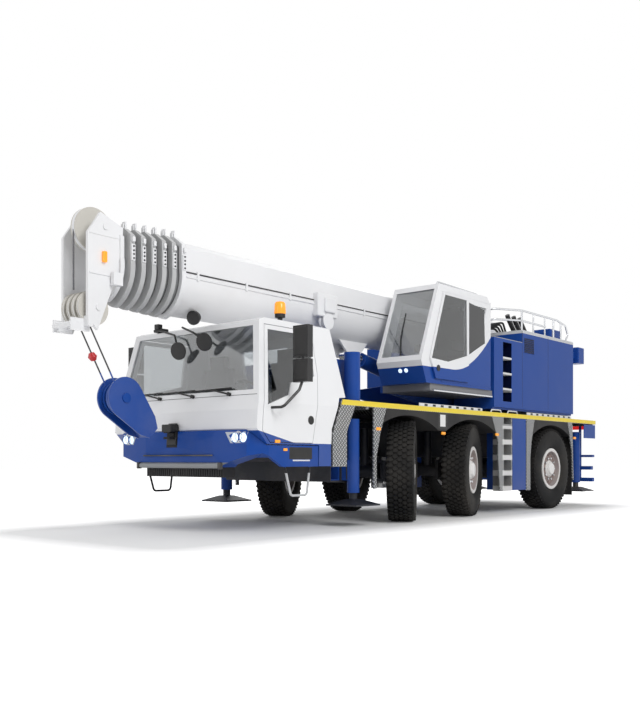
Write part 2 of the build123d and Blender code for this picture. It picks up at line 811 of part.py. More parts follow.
with BuildPart() as cab_glass:
    add(cab_volume(0, glass_inset))
    add(cab_volume(-50, glass_inset + glass_thickness), mode=Mode.SUBTRACT)
    add(cab_openings(-pane_gap), mode=Mode.INTERSECT)
cab_glass.part.label = "cab_glass"
export_step(cab_glass.part, "parts/cab_glass.step")

mirror_ahead = 2480.0
mirror_y = 1500.0
mirror_depth = 90.0
for side in ("left", "right"):
    way = side_sign[side]
    with BuildPart() as cab_door:
        add(cab_volume(0, 0))
        add(cab_volume(door_thickness, -200), mode=Mode.SUBTRACT)
        add(side_prism(door_outline, -door_gap / 2, way), mode=Mode.INTERSECT)
        add(side_prism(door_window, 0, way), mode=Mode.SUBTRACT)
        with BuildLine():
            arm = FilletPolyline(
                (from_axle(2760), way * (body_half - 30), 1440),
                (from_axle(2740), way * (mirror_y - 60), 1440),
                (from_axle(mirror_ahead + 60), way * mirror_y, 1640),
                (from_axle(mirror_ahead), way * mirror_y, 1760),
                radius=60,
            )
        with BuildSketch(Plane(origin=arm @ 0, z_dir=arm % 0)):
            Circle(16)
        sweep(path=arm)
        with Locations((from_axle(mirror_ahead), way * mirror_y, 1860)):
            Box(mirror_depth, 220, 260)
        with Locations((from_axle(mirror_ahead), way * mirror_y, 2190)):
            Box(mirror_depth, 220, 360)
        with Locations((from_axle(mirror_ahead), way * mirror_y, 2000)):
            Cylinder(14, 60)
    cab_door.part.label = f"cab_door_{side}"
    export_step(cab_door.part, f"parts/cab_door_{side}.step")

    with BuildPart() as door_glass:
        add(cab_volume(glass_inset, -100))
        add(cab_volume(glass_inset + glass_thickness, -200), mode=Mode.SUBTRACT)
        add(side_prism(door_window, -pane_gap, way), mode=Mode.INTERSECT)
    door_glass.part.label = f"cab_door_glass_{side}"
    export_step(door_glass.part, f"parts/cab_door_glass_{side}.step")

# Cab interior: dashboard, steering column and wheel, two seats
seat_width = 480.0
seat_depth = 500.0
seat_ahead = 2045.0
seat_y = 620.0
floor_top_z = cab_floor_z + cab_wall
with BuildPart() as cab_interior:
    with BuildSketch(Plane.XZ):
        with BuildLine():
            Polyline(
                (from_axle(2770), floor_top_z),
                (from_axle(2850), 1560),
                (from_axle(2700), 1620),
                (from_axle(2560), 1500),
                (from_axle(2700), floor_top_z),
                close=True,
            )
        make_face()
    extrude(amount=1090, both=True)
    column_plane = Plane(origin=(from_axle(2600), seat_y, 1400), x_dir=(0, 1, 0), z_dir=(-0.6, 0, 0.8))
    with BuildSketch(column_plane):
        Circle(35)
    extrude(amount=330)
    with Locations(column_plane.offset(320)):
        Torus(215, 16)
        Box(400, 34, 18)
    for way in (1, -1):
        with Locations((from_axle(seat_ahead), way * seat_y, (floor_top_z + 1380) / 2)):
            Box(320, 300, 1380 - floor_top_z)
        with Locations((from_axle(seat_ahead), way * seat_y, 1430)):
            Box(seat_depth, seat_width, 130)
        with Locations((from_axle(seat_ahead - seat_depth / 2 - 30), way * seat_y, 1740)):
            Box(120, seat_width - 20, 660)
        with Locations((from_axle(seat_ahead - seat_depth / 2 - 20), way * seat_y, 2150)):
            Box(90, 270, 170)
cab_interior.part.label = "cab_interior"
export_step(cab_interior.part, "parts/cab_interior.step")

# Turntable: slewing ring, base plate, boom cheeks with the pivot pin, cab platform, cylinder foot
upper_ring_radius = 600.0
base_sheet = 30.0
base_top_z = turntable_bottom_z + base_sheet
boom_half = boom_width / 2
cheek_inner_y = boom_half + boom_side_gap
cheek_outer_y = cheek_inner_y + turntable_cheek
pivot_x = from_axle(-boom_pivot_back)
pivot_z = boom_bottom_z + boom_height / 2 - boom_pivot_drop
pivot_pin_radius = 60.0
foot_ahead_of_pivot = 1300.0
foot_below_pivot = 915.0
foot_pin_radius = 45.0
barrel_eye_half = 100.0
foot_lug = 40.0
cheek_outline = ((-800, 1840), (-800, 1930), (-2250, 2150), (-3300, 2350), (-4200, 2940), (-4560, 2940),
                 (-4700, 2600), (-5150, 2200), (-5150, base_top_z), (-1750, base_top_z))
winch_back = 5000.0
winch_z = 1985.0
winch_shaft_radius = 50.0

with BuildPart() as turntable:
    with BuildSketch(Plane.XY.offset(pedestal_top_z + ring_gap)):
        with Locations((slew_x, 0)):
            Circle(upper_ring_radius)
    extrude(amount=turntable_bottom_z - pedestal_top_z - ring_gap)
    with BuildSketch(Plane.XY.offset(turntable_bottom_z)):
        with BuildLine():
            Polyline(
                (slew_x + 720, -500),
                (slew_x + 720, 500),
                (from_axle(-step_block_front_back), 700),
                (from_axle(-step_block_front_back), superstructure_half - 30),
                (from_axle(-tail_back + 20), superstructure_half - 30),
                (from_axle(-tail_back + 20), -superstructure_half + 30),
                (from_axle(-step_block_front_back), -superstructure_half + 30),
                (from_axle(-step_block_front_back), -700),
                close=True,
            )
        make_face()
    extrude(amount=base_sheet)
    for way in (1, -1):
        with BuildSketch(Plane.XZ.offset(-way * cheek_inner_y)):
            with BuildLine():
                Polyline(*[(from_axle(px), pz) for px, pz in cheek_outline], close=True)
            make_face()
        extrude(amount=-way * turntable_cheek)
        with Locations((pivot_x + foot_ahead_of_pivot, way * (barrel_eye_half + 3 + foot_lug / 2),
                        (base_top_z + pivot_z - foot_below_pivot) / 2 + 30)):
            Box(200, foot_lug, pivot_z - foot_below_pivot - base_top_z + 90)
    with BuildSketch(Plane.XZ):
        with Locations((pivot_x, pivot_z)):
            Circle(pivot_pin_radius)
    extrude(amount=cheek_outer_y + 25, both=True)
    with BuildSketch(Plane.XZ):
        with Locations((pivot_x + foot_ahead_of_pivot, pivot_z - foot_below_pivot)):
            Circle(foot_pin_radius)
    extrude(amount=barrel_eye_half + foot_lug, both=True)
    platform_length = opcab_rear_back + 100 - 560
    with Locations((from_axle(-560 - platform_length / 2), (cheek_inner_y + superstructure_half - 30) / 2,
                    opcab_bottom_z - 50)):
        Box(platform_length, superstructure_half - 30 - cheek_inner_y, 100)
turntable.part.label = "turntable"
export_step(turntable.part, "parts/turntable.step")

# Housings: ladder block and machinery housing left, tank and machinery housing right
recess_front_back = 2640.0
recess_rear_back = 2930.0
recess_depth = 200.0
recess_low_z = 1790.0
recess_top_z = 2740.0
louvre_count = 9
louvre_front_back = 3370.0
louvre_length = 350.0
louvre_low_z = 2640.0
louvre_pitch = 29.0
ballast_front_back = 4260.0
joint_gap = 0.5

with BuildPart() as housings:
    for way in (1, -1):
        step_length = housing_front_back - step_block_front_back
        step_width = superstructure_half - housing_inner_y
        with Locations((from_axle(-(step_block_front_back + housing_front_back) / 2 - 5),
                        way * (superstructure_half - step_width / 2), (base_top_z + step_block_top_z) / 2)):
            Box(step_length + 10, step_width, step_block_top_z - base_top_z)
        with Locations((from_axle(-(housing_front_back + ballast_front_back - joint_gap) / 2),
                        way * (superstructure_half - step_width / 2), (base_top_z + housing_top_z) / 2)):
            Box(ballast_front_back - joint_gap - housing_front_back, step_width, housing_top_z - base_top_z)
        with Locations((from_axle(-(recess_front_back + recess_rear_back) / 2),
                        way * (superstructure_half - recess_depth / 2), (recess_low_z + recess_top_z) / 2)):
            Box(recess_rear_back - recess_front_back, recess_depth, recess_top_z - recess_low_z, mode=Mode.SUBTRACT)
        for step in range(3):
            with Locations((from_axle(-(recess_front_back + recess_rear_back) / 2),
                            way * (superstructure_half - recess_depth / 2), 1990 + step * 250)):
                Box(recess_rear_back - recess_front_back, recess_depth, 30)
        for slat in range(louvre_count):
            with Locations((from_axle(-louvre_front_back - louvre_length / 2), way * superstructure_half,
                            louvre_low_z + slat * louvre_pitch)):
                Box(louvre_length, 30, louvre_pitch * 0.55, mode=Mode.SUBTRACT)
housings.part.label = "housings"
export_step(housings.part, "parts/housings.step")

# Counterweight: one block each side of the winch at the tail
with BuildPart() as counterweight:
    for way in (1, -1):
        block_length = tail_back - ballast_front_back
        block_width = superstructure_half - housing_inner_y
        with Locations((from_axle(-(tail_back + ballast_front_back) / 2),
                        way * (superstructure_half - block_width / 2), (base_top_z + housing_top_z) / 2)):
            Box(block_length, block_width, housing_top_z - base_top_z)
counterweight.part.label = "counterweight"
export_step(counterweight.part, "parts/counterweight.step")

# Winch: drum with flanges on a shaft between the cheeks
drum_core_radius = 160.0
drum_flange_radius = 235.0
drum_half = 250.0
with BuildPart() as winch:
    with BuildSketch(Plane(origin=(from_axle(-winch_back), 0, winch_z), x_dir=(0, 1, 0), z_dir=(1, 0, 0))):
        with BuildLine():
            Polyline(
                (-cheek_inner_y, 0),
                (-cheek_inner_y, winch_shaft_radius),
                (-drum_half - 30, winch_shaft_radius),
                (-drum_half - 30, drum_flange_radius),
                (-drum_half, drum_flange_radius),
                (-drum_half, drum_core_radius),
                (drum_half, drum_core_radius),
                (drum_half, drum_flange_radius),
                (drum_half + 30, drum_flange_radius),
                (drum_half + 30, winch_shaft_radius),
                (cheek_inner_y, winch_shaft_radius),
                (cheek_inner_y, 0),
                close=True,
            )
        make_face()
    revolve(axis=Axis((from_axle(-winch_back), 0, winch_z), (0, 1, 0)))
winch.part.label = "winch"
export_step(winch.part, "parts/winch.step")

# Railing: posts and two rails round the left housing roof
rail_radius = 16.0
post_radius = 13.0
rail_height = 340.0
rail_front_back = 3330.0
rail_rear_back = 4230.0
post_backs = (3350.0, 3780.0, 4210.0)
with BuildPart() as railing:
    rail_out_y = superstructure_half - 40
    for back in post_backs:
        with Locations((from_axle(-back), rail_out_y, housing_top_z + rail_height / 2)):
            Cylinder(post_radius, rail_height)
    for level in (0.5, 1.0):
        with BuildSketch(Plane.YZ.offset(from_axle(-rail_rear_back))):
            with Locations((rail_out_y, housing_top_z + level * rail_height)):
                Circle(rail_radius)
        extrude(amount=rail_rear_back - rail_front_back)
railing.part.label = "railing"
export_step(railing.part, "parts/railing.step")

# Operator's cab: glazed shell left of the boom with a sliding door
opcab_outline = (
    (-420, opcab_bottom_z),
    (-opcab_front_back, 2250),
    (-745, opcab_top_z),
    (-2130, opcab_top_z),
    (-opcab_rear_back, 3270),
    (-opcab_rear_back, opcab_bottom_z),
)
opdoor_opening = ((-870, 3240), (-1500, 3240), (-1500, 2030), (-640, 2030), (-520, 2290))
opdoor_outline = ((-850, 3265), (-1530, 3265), (-1530, 2010), (-620, 2010), (-490, 2290))
opdoor_window = ((-905, 3200), (-1460, 3200), (-1470, 2500), (-1200, 2340), (-575, 2305))
oprear_window = ((-1590, 3200), (-2110, 3200), (-1960, 2830), (-1640, 2540))
opinner_window = ((-905, 3200), (-2110, 3200), (-2110, 2500), (-575, 2350))
opcab_half_mid = (opcab_inner_y + superstructure_half) / 2
opcab_half_width = (superstructure_half - opcab_inner_y) / 2
opdoor_clearance = 5.0
opdoor_thickness = 28.0
opdoor_track = 4.5


def opcab_volume(side_inset, outline_inset):
    """Closed volume of the operator's cab, drawn in by the two insets."""
    with BuildPart() as volume:
        with BuildSketch(Plane.XZ.offset(-opcab_half_mid)):
            with BuildLine():
                Polyline(*[(from_axle(px), pz) for px, pz in opcab_outline], close=True)
            make_face()
            if outline_inset:
                offset(amount=-outline_inset, kind=Kind.INTERSECTION)
        extrude(amount=opcab_half_width - side_inset, both=True)
    return volume.part


def opcab_prism(outline, grow, low_y, high_y):
    """Outline grown and pushed from low_y to high_y across the operator's cab."""
    with BuildPart() as prism:
        with BuildSketch(Plane.XZ.offset(-low_y)):
            with BuildLine():
                Polyline(*[(from_axle(px), pz) for px, pz in outline], close=True)
            make_face()
            if grow:
                offset(amount=grow, kind=Kind.INTERSECTION)
        extrude(amount=low_y - high_y)
    return prism.part


def opscreen_prism(grow):
    """Windscreen opening of the operator's cab."""
    with BuildPart() as prism:
        with Locations((from_axle(-opcab_front_back - 200), opcab_half_mid, 2815)):
            Box(620, 2 * (opcab_half_width - 55 + grow), 980 + 2 * grow)
    return prism.part


def opcab_openings(grow):
    """Window openings of the operator's cab that carry fixed panes."""
    with BuildPart() as panes:
        add(opscreen_prism(grow))
        add(opcab_prism(oprear_window, grow, opcab_half_mid + 300, superstructure_half + 50))
        add(opcab_prism(opinner_window, grow, opcab_inner_y - 50, opcab_inner_y + 80))
    return panes.part


with BuildPart() as opcab_shell:
    add(opcab_volume(0, 0))
    add(opcab_volume(opcab_wall, opcab_wall), mode=Mode.SUBTRACT)
    add(opscreen_prism(0), mode=Mode.SUBTRACT)
    add(opcab_prism(opdoor_opening, 0, opcab_half_mid, superstructure_half + 50), mode=Mode.SUBTRACT)
    add(opcab_prism(oprear_window, 0, opcab_half_mid, superstructure_half + 50), mode=Mode.SUBTRACT)
    add(opcab_prism(opinner_window, 0, opcab_inner_y - 50, opcab_half_mid), mode=Mode.SUBTRACT)
    for track_z in (1985, 3290):
        with Locations((from_axle(-(opcab_rear_back + 800) / 2), superstructure_half + opdoor_track / 2, track_z)):
            Box(opcab_rear_back - 800, opdoor_track, 20)
opcab_shell.part.label = "opcab_shell"
export_step(opcab_shell.part, "parts/opcab_shell.step")

with BuildPart() as opcab_glass:
    add(opcab_volume(glass_inset, glass_inset))
    add(opcab_volume(glass_inset + glass_thickness, glass_inset + glass_thickness), mode=Mode.SUBTRACT)
    add(opcab_openings(-pane_gap), mode=Mode.INTERSECT)
opcab_glass.part.label = "opcab_glass"
export_step(opcab_glass.part, "parts/opcab_glass.step")

with BuildPart() as opcab_door:
    door_inner_y = superstructure_half + opdoor_clearance
    add(opcab_prism(opdoor_outline, 0, door_inner_y, door_inner_y + opdoor_thickness))
    add(opcab_prism(opdoor_window, 0, door_inner_y + 17, door_inner_y + opdoor_thickness), mode=Mode.SUBTRACT)
    add(opcab_prism(opdoor_window, 0, door_inner_y, door_inner_y + 11), mode=Mode.SUBTRACT)
    for track_z in (1990, 3285):
        with Locations((from_axle(-1190), door_inner_y + opdoor_thickness / 2, track_z)):
            Box(640, opdoor_thickness, 50)
opcab_door.part.label = "opcab_door"
export_step(opcab_door.part, "parts/opcab_door.step")

with BuildPart() as opcab_seat:
    seat_floor_z = opcab_bottom_z + opcab_wall
    seat_x = from_axle(-1450)
    with Locations((seat_x, opcab_half_mid, seat_floor_z + 190)):
        Box(330, 330, 380)
    with Locations((seat_x, opcab_half_mid, seat_floor_z + 440)):
        Box(520, 500, 120)
    with Locations((seat_x - 280, opcab_half_mid, seat_floor_z + 780)):
        Box(120, 480, 720)
    with Locations((seat_x - 270, opcab_half_mid, seat_floor_z + 1120)):
        Box(90, 280, 160)
    for way in (1, -1):
        with Locations((seat_x + 40, opcab_half_mid + way * 290, seat_floor_z + 560)):
            Box(460, 70, 120)
opcab_seat.part.label = "opcab_seat"
export_step(opcab_seat.part, "parts/opcab_seat.step")

# Boom: U-bottomed base section with a bevelled top, six nested sections, each with a raised collar
boom_top_z = boom_bottom_z + boom_height
boom_flat_half = 195.0
boom_bevel_z = boom_top_z - 85
boom_side_z = boom_top_z - 330


def boom_outline(grow):
    """Cross outline of the boom, grown outwards by that much."""
    with BuildSketch() as outline:
        with BuildLine():
            Polyline(
                (-boom_half, boom_side_z),
                (-boom_half, boom_bevel_z),
                (-boom_flat_half, boom_top_z),
                (boom_flat_half, boom_top_z),
                (boom_half, boom_bevel_z),
                (boom_half, boom_side_z),
            )
            for way in (1, -1):
                ThreePointArc(
                    (way * boom_half, boom_side_z),
                    (way * boom_half * 0.72, boom_bottom_z + 150),
                    (0, boom_bottom_z),
                )
        make_face()
        if grow:
            offset(amount=grow, kind=Kind.INTERSECTION)
    return outline.sketch


def tube_between(rear_x, front_x, outer_grow, wall):
    """Length of boom section between two stations."""
    with BuildPart() as tube:
        with BuildSketch(Plane.YZ.offset(rear_x)):
            add(boom_outline(outer_grow))
        extrude(amount=front_x - rear_x)
        with BuildSketch(Plane.YZ.offset(rear_x)):
            add(boom_outline(outer_grow - wall))
        extrude(amount=front_x - rear_x, mode=Mode.SUBTRACT)
    return tube.part


boom_rear_x = from_axle(-boom_rear_back)
collar_front_x = from_axle(collar_front_ahead)
upper_pin_ahead_of_pivot = 4200.0
upper_pin_below_pivot = 345.0
upper_pin_x = pivot_x + upper_pin_ahead_of_pivot
upper_pin_z = pivot_z - upper_pin_below_pivot
rod_eye_half = 90.0
lug_gap = 3.0
lug_thickness = 35.0

with BuildPart() as boom_base:
    add(tube_between(boom_rear_x, collar_front_x, 0, section_wall))
    add(tube_between(collar_front_x - collar_length, collar_front_x, collar_rise, collar_rise + 1))
    for way in (1, -1):
        with BuildSketch(Plane.XZ.offset(-way * (rod_eye_half + lug_gap))):
            with BuildLine():
                Polyline(
                    (upper_pin_x - 330, boom_bottom_z + 40),
                    (upper_pin_x - 110, upper_pin_z - 60),
                    (upper_pin_x + 80, upper_pin_z - 60),
                    (upper_pin_x + 330, boom_bottom_z + 40),
                    close=True,
                )
            make_face()
        extrude(amount=-way * lug_thickness)
    with BuildSketch(Plane.YZ.offset(boom_rear_x)):
        add(boom_outline(-section_wall))
    extrude(amount=collar_front_x - boom_rear_x, mode=Mode.SUBTRACT)
    with BuildSketch(Plane.XZ):
        with Locations((pivot_x, pivot_z)):
            Circle(pivot_pin_radius + running_clearance)
    extrude(amount=boom_half + 10, both=True, mode=Mode.SUBTRACT)
    with BuildSketch(Plane.XZ):
        with BuildLine():
            Polyline(
                (boom_rear_x - 10, boom_top_z + 10),
                (boom_rear_x + 520, boom_top_z + 10),
                (boom_rear_x - 10, pivot_z + 120),
                close=True,
            )
        make_face()
    extrude(amount=boom_half + 10, both=True, mode=Mode.SUBTRACT)
boom_base.part.label = "boom_base"
export_step(boom_base.part, "parts/boom_base.step")

nest_rear_x = pivot_x + 200
head_rear_ahead = 4005.0
head_half = 245.0
head_plate = 40.0
head_neck = 50.0
head_outline = ((4008, 3369), (4297, 3483), (4455, 3249), (4455, 2342), (4334, 2225), (4156, 2674), (4012, 3184))
top_sheave_ahead = 4235.0
top_sheave_radius = 240.0
top_sheave_z = 3340.0
low_sheave_ahead = 4325.0
low_sheave_radius = 180.0
low_sheave_z = 2470.0
low_sheave_lanes = (-135, -45, 45, 135)
sheave_pin_radius = 35.0
sheave_width = 60.0
roller_ahead = 4590.0
roller_radius = 30.0
roller_half = 170.0
roller_z = 2275.0
head_rear_x = from_axle(head_rear_ahead)
low_sheave_x = from_axle(low_sheave_ahead)

for index in range(1, section_count + 1):
    grow = -index * section_inset
    front_x = collar_front_x + index * collar_pitch
    rear_x = nest_rear_x + index * 20
    with BuildPart() as tele:
        if index < section_count:
            add(tube_between(rear_x, front_x, grow, section_wall))
            ring_rise = collar_rise - index * collar_step
            add(tube_between(front_x - collar_length, front_x, ring_rise, ring_rise - grow + 1))
            with BuildSketch(Plane.YZ.offset(rear_x)):
                add(boom_outline(grow - section_wall))
            extrude(amount=front_x - rear_x, mode=Mode.SUBTRACT)
        else:
            add(tube_between(rear_x, head_rear_x + 30, grow, section_wall))
            with BuildSketch(Plane.YZ.offset(head_rear_x)):
                add(boom_outline(-collar_step * index))
            extrude(amount=50)
            for way in (1, -1):
                with BuildSketch(Plane.XZ.offset(-way * head_half)):
                    with BuildLine():
                        Polyline(*[(from_axle(px), pz) for px, pz in head_outline], close=True)
                    make_face()
                extrude(amount=way * head_plate)
                with Locations((from_axle(roller_ahead) - 95, way * (roller_half - 12), roller_z)):
                    Box(230, 24, 130)
            with Locations((head_rear_x + head_neck, 0, 3030)):
                Box(2 * head_neck, 2 * head_half - 20, 420)
            with Locations((from_axle(4420), 0, roller_z + 40)):
                Box(60, 2 * head_half, 110)
            for pin_x, pin_z in ((from_axle(top_sheave_ahead), top_sheave_z), (low_sheave_x, low_sheave_z)):
                with BuildSketch(Plane.XZ):
                    with Locations((pin_x, pin_z)):
                        Circle(sheave_pin_radius)
                extrude(amount=head_half + 15, both=True)
            with BuildSketch(Plane.XZ):
                with Locations((from_axle(top_sheave_ahead), top_sheave_z)):
                    Circle(top_sheave_radius)
            extrude(amount=sheave_width / 2, both=True)
            with BuildSketch(Plane.XZ):
                with Locations((from_axle(roller_ahead), roller_z)):
                    Circle(roller_radius)
            extrude(amount=roller_half, both=True)
            for lane in low_sheave_lanes:
                with BuildSketch(Plane.XZ.offset(-lane)):
                    with Locations((low_sheave_x, low_sheave_z)):
                        Circle(low_sheave_radius)
                extrude(amount=sheave_width / 4, both=True)
    tele.part.label = f"boom_section_{index}"
    export_step(tele.part, f"parts/boom_section_{index}.step")

# Lift cylinder: barrel on the turntable foot, rod with its eye between the boom lugs
foot_x = pivot_x + foot_ahead_of_pivot
foot_z = pivot_z - foot_below_pivot
lift_direction = Vector(upper_pin_x - foot_x, 0, upper_pin_z - foot_z)
lift_length = lift_direction.length
lift_unit = lift_direction.normalized()
lift_plane = Plane(origin=(foot_x, 0, foot_z), x_dir=(0, 1, 0), z_dir=lift_unit)
barrel_radius = 110.0
barrel_bore = 80.0
barrel_end = 330.0
rod_radius = 76.0
eye_radius = 95.0

with BuildPart() as lift_barrel:
    with BuildSketch(lift_plane.offset(130)):
        Circle(barrel_radius)
    extrude(amount=lift_length - barrel_end - 130)
    with BuildSketch(Plane.XZ):
        with Locations((foot_x, foot_z)):
            Circle(eye_radius)
    extrude(amount=barrel_eye_half, both=True)
    with BuildSketch(lift_plane):
        Rectangle(2 * barrel_eye_half, 1.6 * eye_radius)
    extrude(amount=180)
    with BuildSketch(Plane.XZ):
        with Locations((foot_x, foot_z)):
            Circle(foot_pin_radius + running_clearance)
    extrude(amount=barrel_eye_half, both=True, mode=Mode.SUBTRACT)
    with BuildSketch(lift_plane.offset(200)):
        Circle(barrel_bore)
    extrude(amount=lift_length, mode=Mode.SUBTRACT)
lift_barrel.part.label = "lift_barrel"
export_step(lift_barrel.part, "parts/lift_barrel.step")

with BuildPart() as lift_rod:
    with BuildSketch(lift_plane.offset(240)):
        Circle(rod_radius)
    extrude(amount=lift_length - 240 - eye_radius / 2)
    with BuildSketch(Plane.XZ):
        with Locations((upper_pin_x, upper_pin_z)):
            Circle(eye_radius)
    extrude(amount=rod_eye_half, both=True)
    with BuildSketch(Plane.XZ):
        with Locations((upper_pin_x, upper_pin_z)):
            Circle(foot_pin_radius)
    extrude(amount=rod_eye_half + lug_gap - 0.5, both=True)
lift_rod.part.label = "lift_rod"
export_step(lift_rod.part, "parts/lift_rod.step")

# Hook block: two cheeks round three sheaves, hook below, hoist ropes up to the head sheaves
block_pin_x = from_axle(3860.0)
block_pin_z = 1540.0
block_lean = 45.0
block_half = 110.0
block_plate = 22.0
block_sheave_radius = 185.0
rope_radius = 9.0
rope_lane = 90.0
block_down = Vector(-sin(radians(block_lean)), 0, -cos(radians(block_lean)))
block_plane = Plane(origin=(block_pin_x, 0, block_pin_z), x_dir=(block_down.Z, 0, -block_down.X), z_dir=(0, 1, 0))

with BuildPart() as hook_block:
    for way in (1, -1):
        with BuildSketch(block_plane.offset(-way * block_half)):
            with BuildLine():
                Polyline((-230, -40), (-150, -420), (-80, -540), (80, -540), (150, -420), (230, -40))
                ThreePointArc((230, -40), (0, 235), (-230, -40))
            make_face()
        extrude(amount=way * block_plate)
    with BuildSketch(block_plane):
        Circle(45)
    extrude(amount=block_half, both=True)
    for lane in (-60, 0, 60):
        with BuildSketch(block_plane.offset(lane)):
            Circle(block_sheave_radius)
        extrude(amount=16, both=True)
    with BuildSketch(block_plane.offset(-block_half + 10)):
        with Locations((0, -470)):
            Rectangle(150, 130)
    extrude(amount=2 * block_half - 20)
    for lane in (-rope_lane, rope_lane):
        rope_foot = Vector(block_pin_x + 110, lane, block_pin_z + 100)
        rope_head = Vector(low_sheave_x + 60, lane, low_sheave_z - sheave_pin_radius - 40)
        rope_line = rope_head - rope_foot
        with BuildSketch(Plane(origin=rope_foot, z_dir=rope_line.normalized())):
            Circle(rope_radius)
        extrude(amount=rope_line.length)
hook_block.part.label = "hook_block"
export_step(hook_block.part, "parts/hook_block.step")
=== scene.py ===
"""Looks of a three-axle mobile crane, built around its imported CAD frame.

Metres. +X forward, +Y left, +Z up, origin on the ground under the middle of the machine.
Stations along the machine are given ahead of the front axle; ahead() and at() turn them into X.
"""
from math import cos, pi, radians, sin

import bmesh
import bpy
from mathutils import Matrix, Vector


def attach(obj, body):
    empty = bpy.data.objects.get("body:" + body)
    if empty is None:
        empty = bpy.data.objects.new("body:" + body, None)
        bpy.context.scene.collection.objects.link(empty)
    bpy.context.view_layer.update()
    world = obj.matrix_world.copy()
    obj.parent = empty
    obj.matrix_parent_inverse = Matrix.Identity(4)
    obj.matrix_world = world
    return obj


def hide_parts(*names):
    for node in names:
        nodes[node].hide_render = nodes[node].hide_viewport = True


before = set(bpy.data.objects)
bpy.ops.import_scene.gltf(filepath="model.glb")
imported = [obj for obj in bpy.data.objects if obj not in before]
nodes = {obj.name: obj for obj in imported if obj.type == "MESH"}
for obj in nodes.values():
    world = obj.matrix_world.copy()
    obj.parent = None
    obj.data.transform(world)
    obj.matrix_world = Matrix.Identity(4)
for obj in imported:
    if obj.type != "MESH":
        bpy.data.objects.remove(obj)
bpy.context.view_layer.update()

# Driving dimensions, the same as the frame's
FRONT_AXLE = 0.815
BODY_HALF = 1.275
DECK_TOP = 1.600
AXLE_HEIGHT = 0.700
AXLES_BACK = {1: 0.0, 2: 1.63, 3: 4.4}
KINGPIN_Y = 0.8425
KINGPIN_INSET = 0.240
REST_STEER = {(1, 1): 32, (1, -1): 27, (2, 1): 19, (2, -1): 16, (3, 1): 0, (3, -1): 0}
TYRE_RADIUS = 0.700
TYRE_HALF = 0.1925
BEAD_RADIUS = 0.320
HUB_RADIUS = 0.150
DISH_RADIUS = 0.283
RIM_WALL_RADIUS = 0.304
BOOM_TOP = 3.385
BOOM_HALF = 0.310
COLLAR_FRONT = 3.270
COLLAR_PITCH = 0.138
COLLAR_LENGTH = 0.060
SECTIONS = 6
HOUSING_TOP = 3.000
SIDES = {"left": 1, "right": -1}
CARRIER = "carrier"
UPPER = "superstructure"


def ahead(distance):
    """X of a station that far ahead of the front axle."""
    return FRONT_AXLE + distance


def at(distance, y, z):
    """Place whose station is given ahead of the front axle."""
    return (FRONT_AXLE + distance, y, z)


# Node helpers

def set_inputs(node, sockets):
    """Join a node's inputs to sockets or to other nodes, or set them; a colour may leave out its alpha."""
    for key, value in sockets.items():
        if isinstance(value, bpy.types.Node):
            value = value.outputs[0]
        if isinstance(value, bpy.types.NodeSocket):
            node.id_data.links.new(value, node.inputs[key])
        elif node.inputs[key].type == "RGBA" and len(value) == 3:
            node.inputs[key].default_value = (*value, 1.0)
        else:
            node.inputs[key].default_value = value


def add_node(tree, kind, sockets=None, **settings):
    """New node with its settings, and its inputs joined or set."""
    node = tree.nodes.new(kind)
    for key, value in settings.items():
        setattr(node, key, value)
    set_inputs(node, sockets or {})
    return node


def maths(tree, operation, first, second=0.0):
    """Result of one math node."""
    return add_node(tree, "ShaderNodeMath", {0: first, 1: second}, operation=operation).outputs[0]


def vector_maths(tree, operation, first, second=(0.0, 0.0, 0.0), output="Vector"):
    """Result of one vector math node."""
    return add_node(tree, "ShaderNodeVectorMath", {0: first, 1: second}, operation=operation).outputs[output]


def product(tree, first, *factors):
    """Values multiplied together."""
    for factor in factors:
        first = maths(tree, "MULTIPLY", first, factor)
    return first


def between(tree, value, low, high):
    """One where the value lies between two limits; a limit of None is open."""
    tests = [("GREATER_THAN", low), ("LESS_THAN", high)]
    return product(tree, *(maths(tree, test, value, limit) for test, limit in tests if limit is not None))


def color_mix(tree, factor, first, second):
    """Blend of two colours."""
    return add_node(tree, "ShaderNodeMix", {0: factor, 6: first, 7: second}, data_type="RGBA").outputs[2]


def number_mix(tree, factor, first, second):
    """Blend of two numbers."""
    return add_node(tree, "ShaderNodeMix", {0: factor, 2: first, 3: second}).outputs[0]


def ramp(tree, value, **limits):
    """Number mapped from one range to another, with From_Min, From_Max, To_Min and To_Max."""
    sockets = {key.replace("_", " "): limit for key, limit in limits.items()}
    return add_node(tree, "ShaderNodeMapRange", {"Value": value, **sockets}).outputs[0]


def noise(tree, **sockets):
    """Noise value over the object's coordinates."""
    return add_node(tree, "ShaderNodeTexNoise", {"Vector": object_place(tree), **sockets}).outputs["Fac"]


def object_place(tree):
    """Object coordinates."""
    return add_node(tree, "ShaderNodeTexCoord").outputs["Object"]


def object_axes(tree):
    """Object X, Y and Z."""
    parts = add_node(tree, "ShaderNodeSeparateXYZ", {0: object_place(tree)}).outputs
    return parts["X"], parts["Y"], parts["Z"]


def new_group(name, tree_kind, inputs, outputs):
    """Empty node group with named inputs, given as (name, kind of socket, default), and named outputs."""
    tree = bpy.data.node_groups.new(name, tree_kind)
    for label, kind, default in inputs:
        item = tree.interface.new_socket(label, in_out="INPUT", socket_type=f"NodeSocket{kind}")
        if default is not None:
            item.default_value = default
    for label, kind in outputs:
        tree.interface.new_socket(label, in_out="OUTPUT", socket_type=f"NodeSocket{kind}")
    return tree, tree.nodes.new("NodeGroupInput").outputs, tree.nodes.new("NodeGroupOutput").inputs


# Shader groups

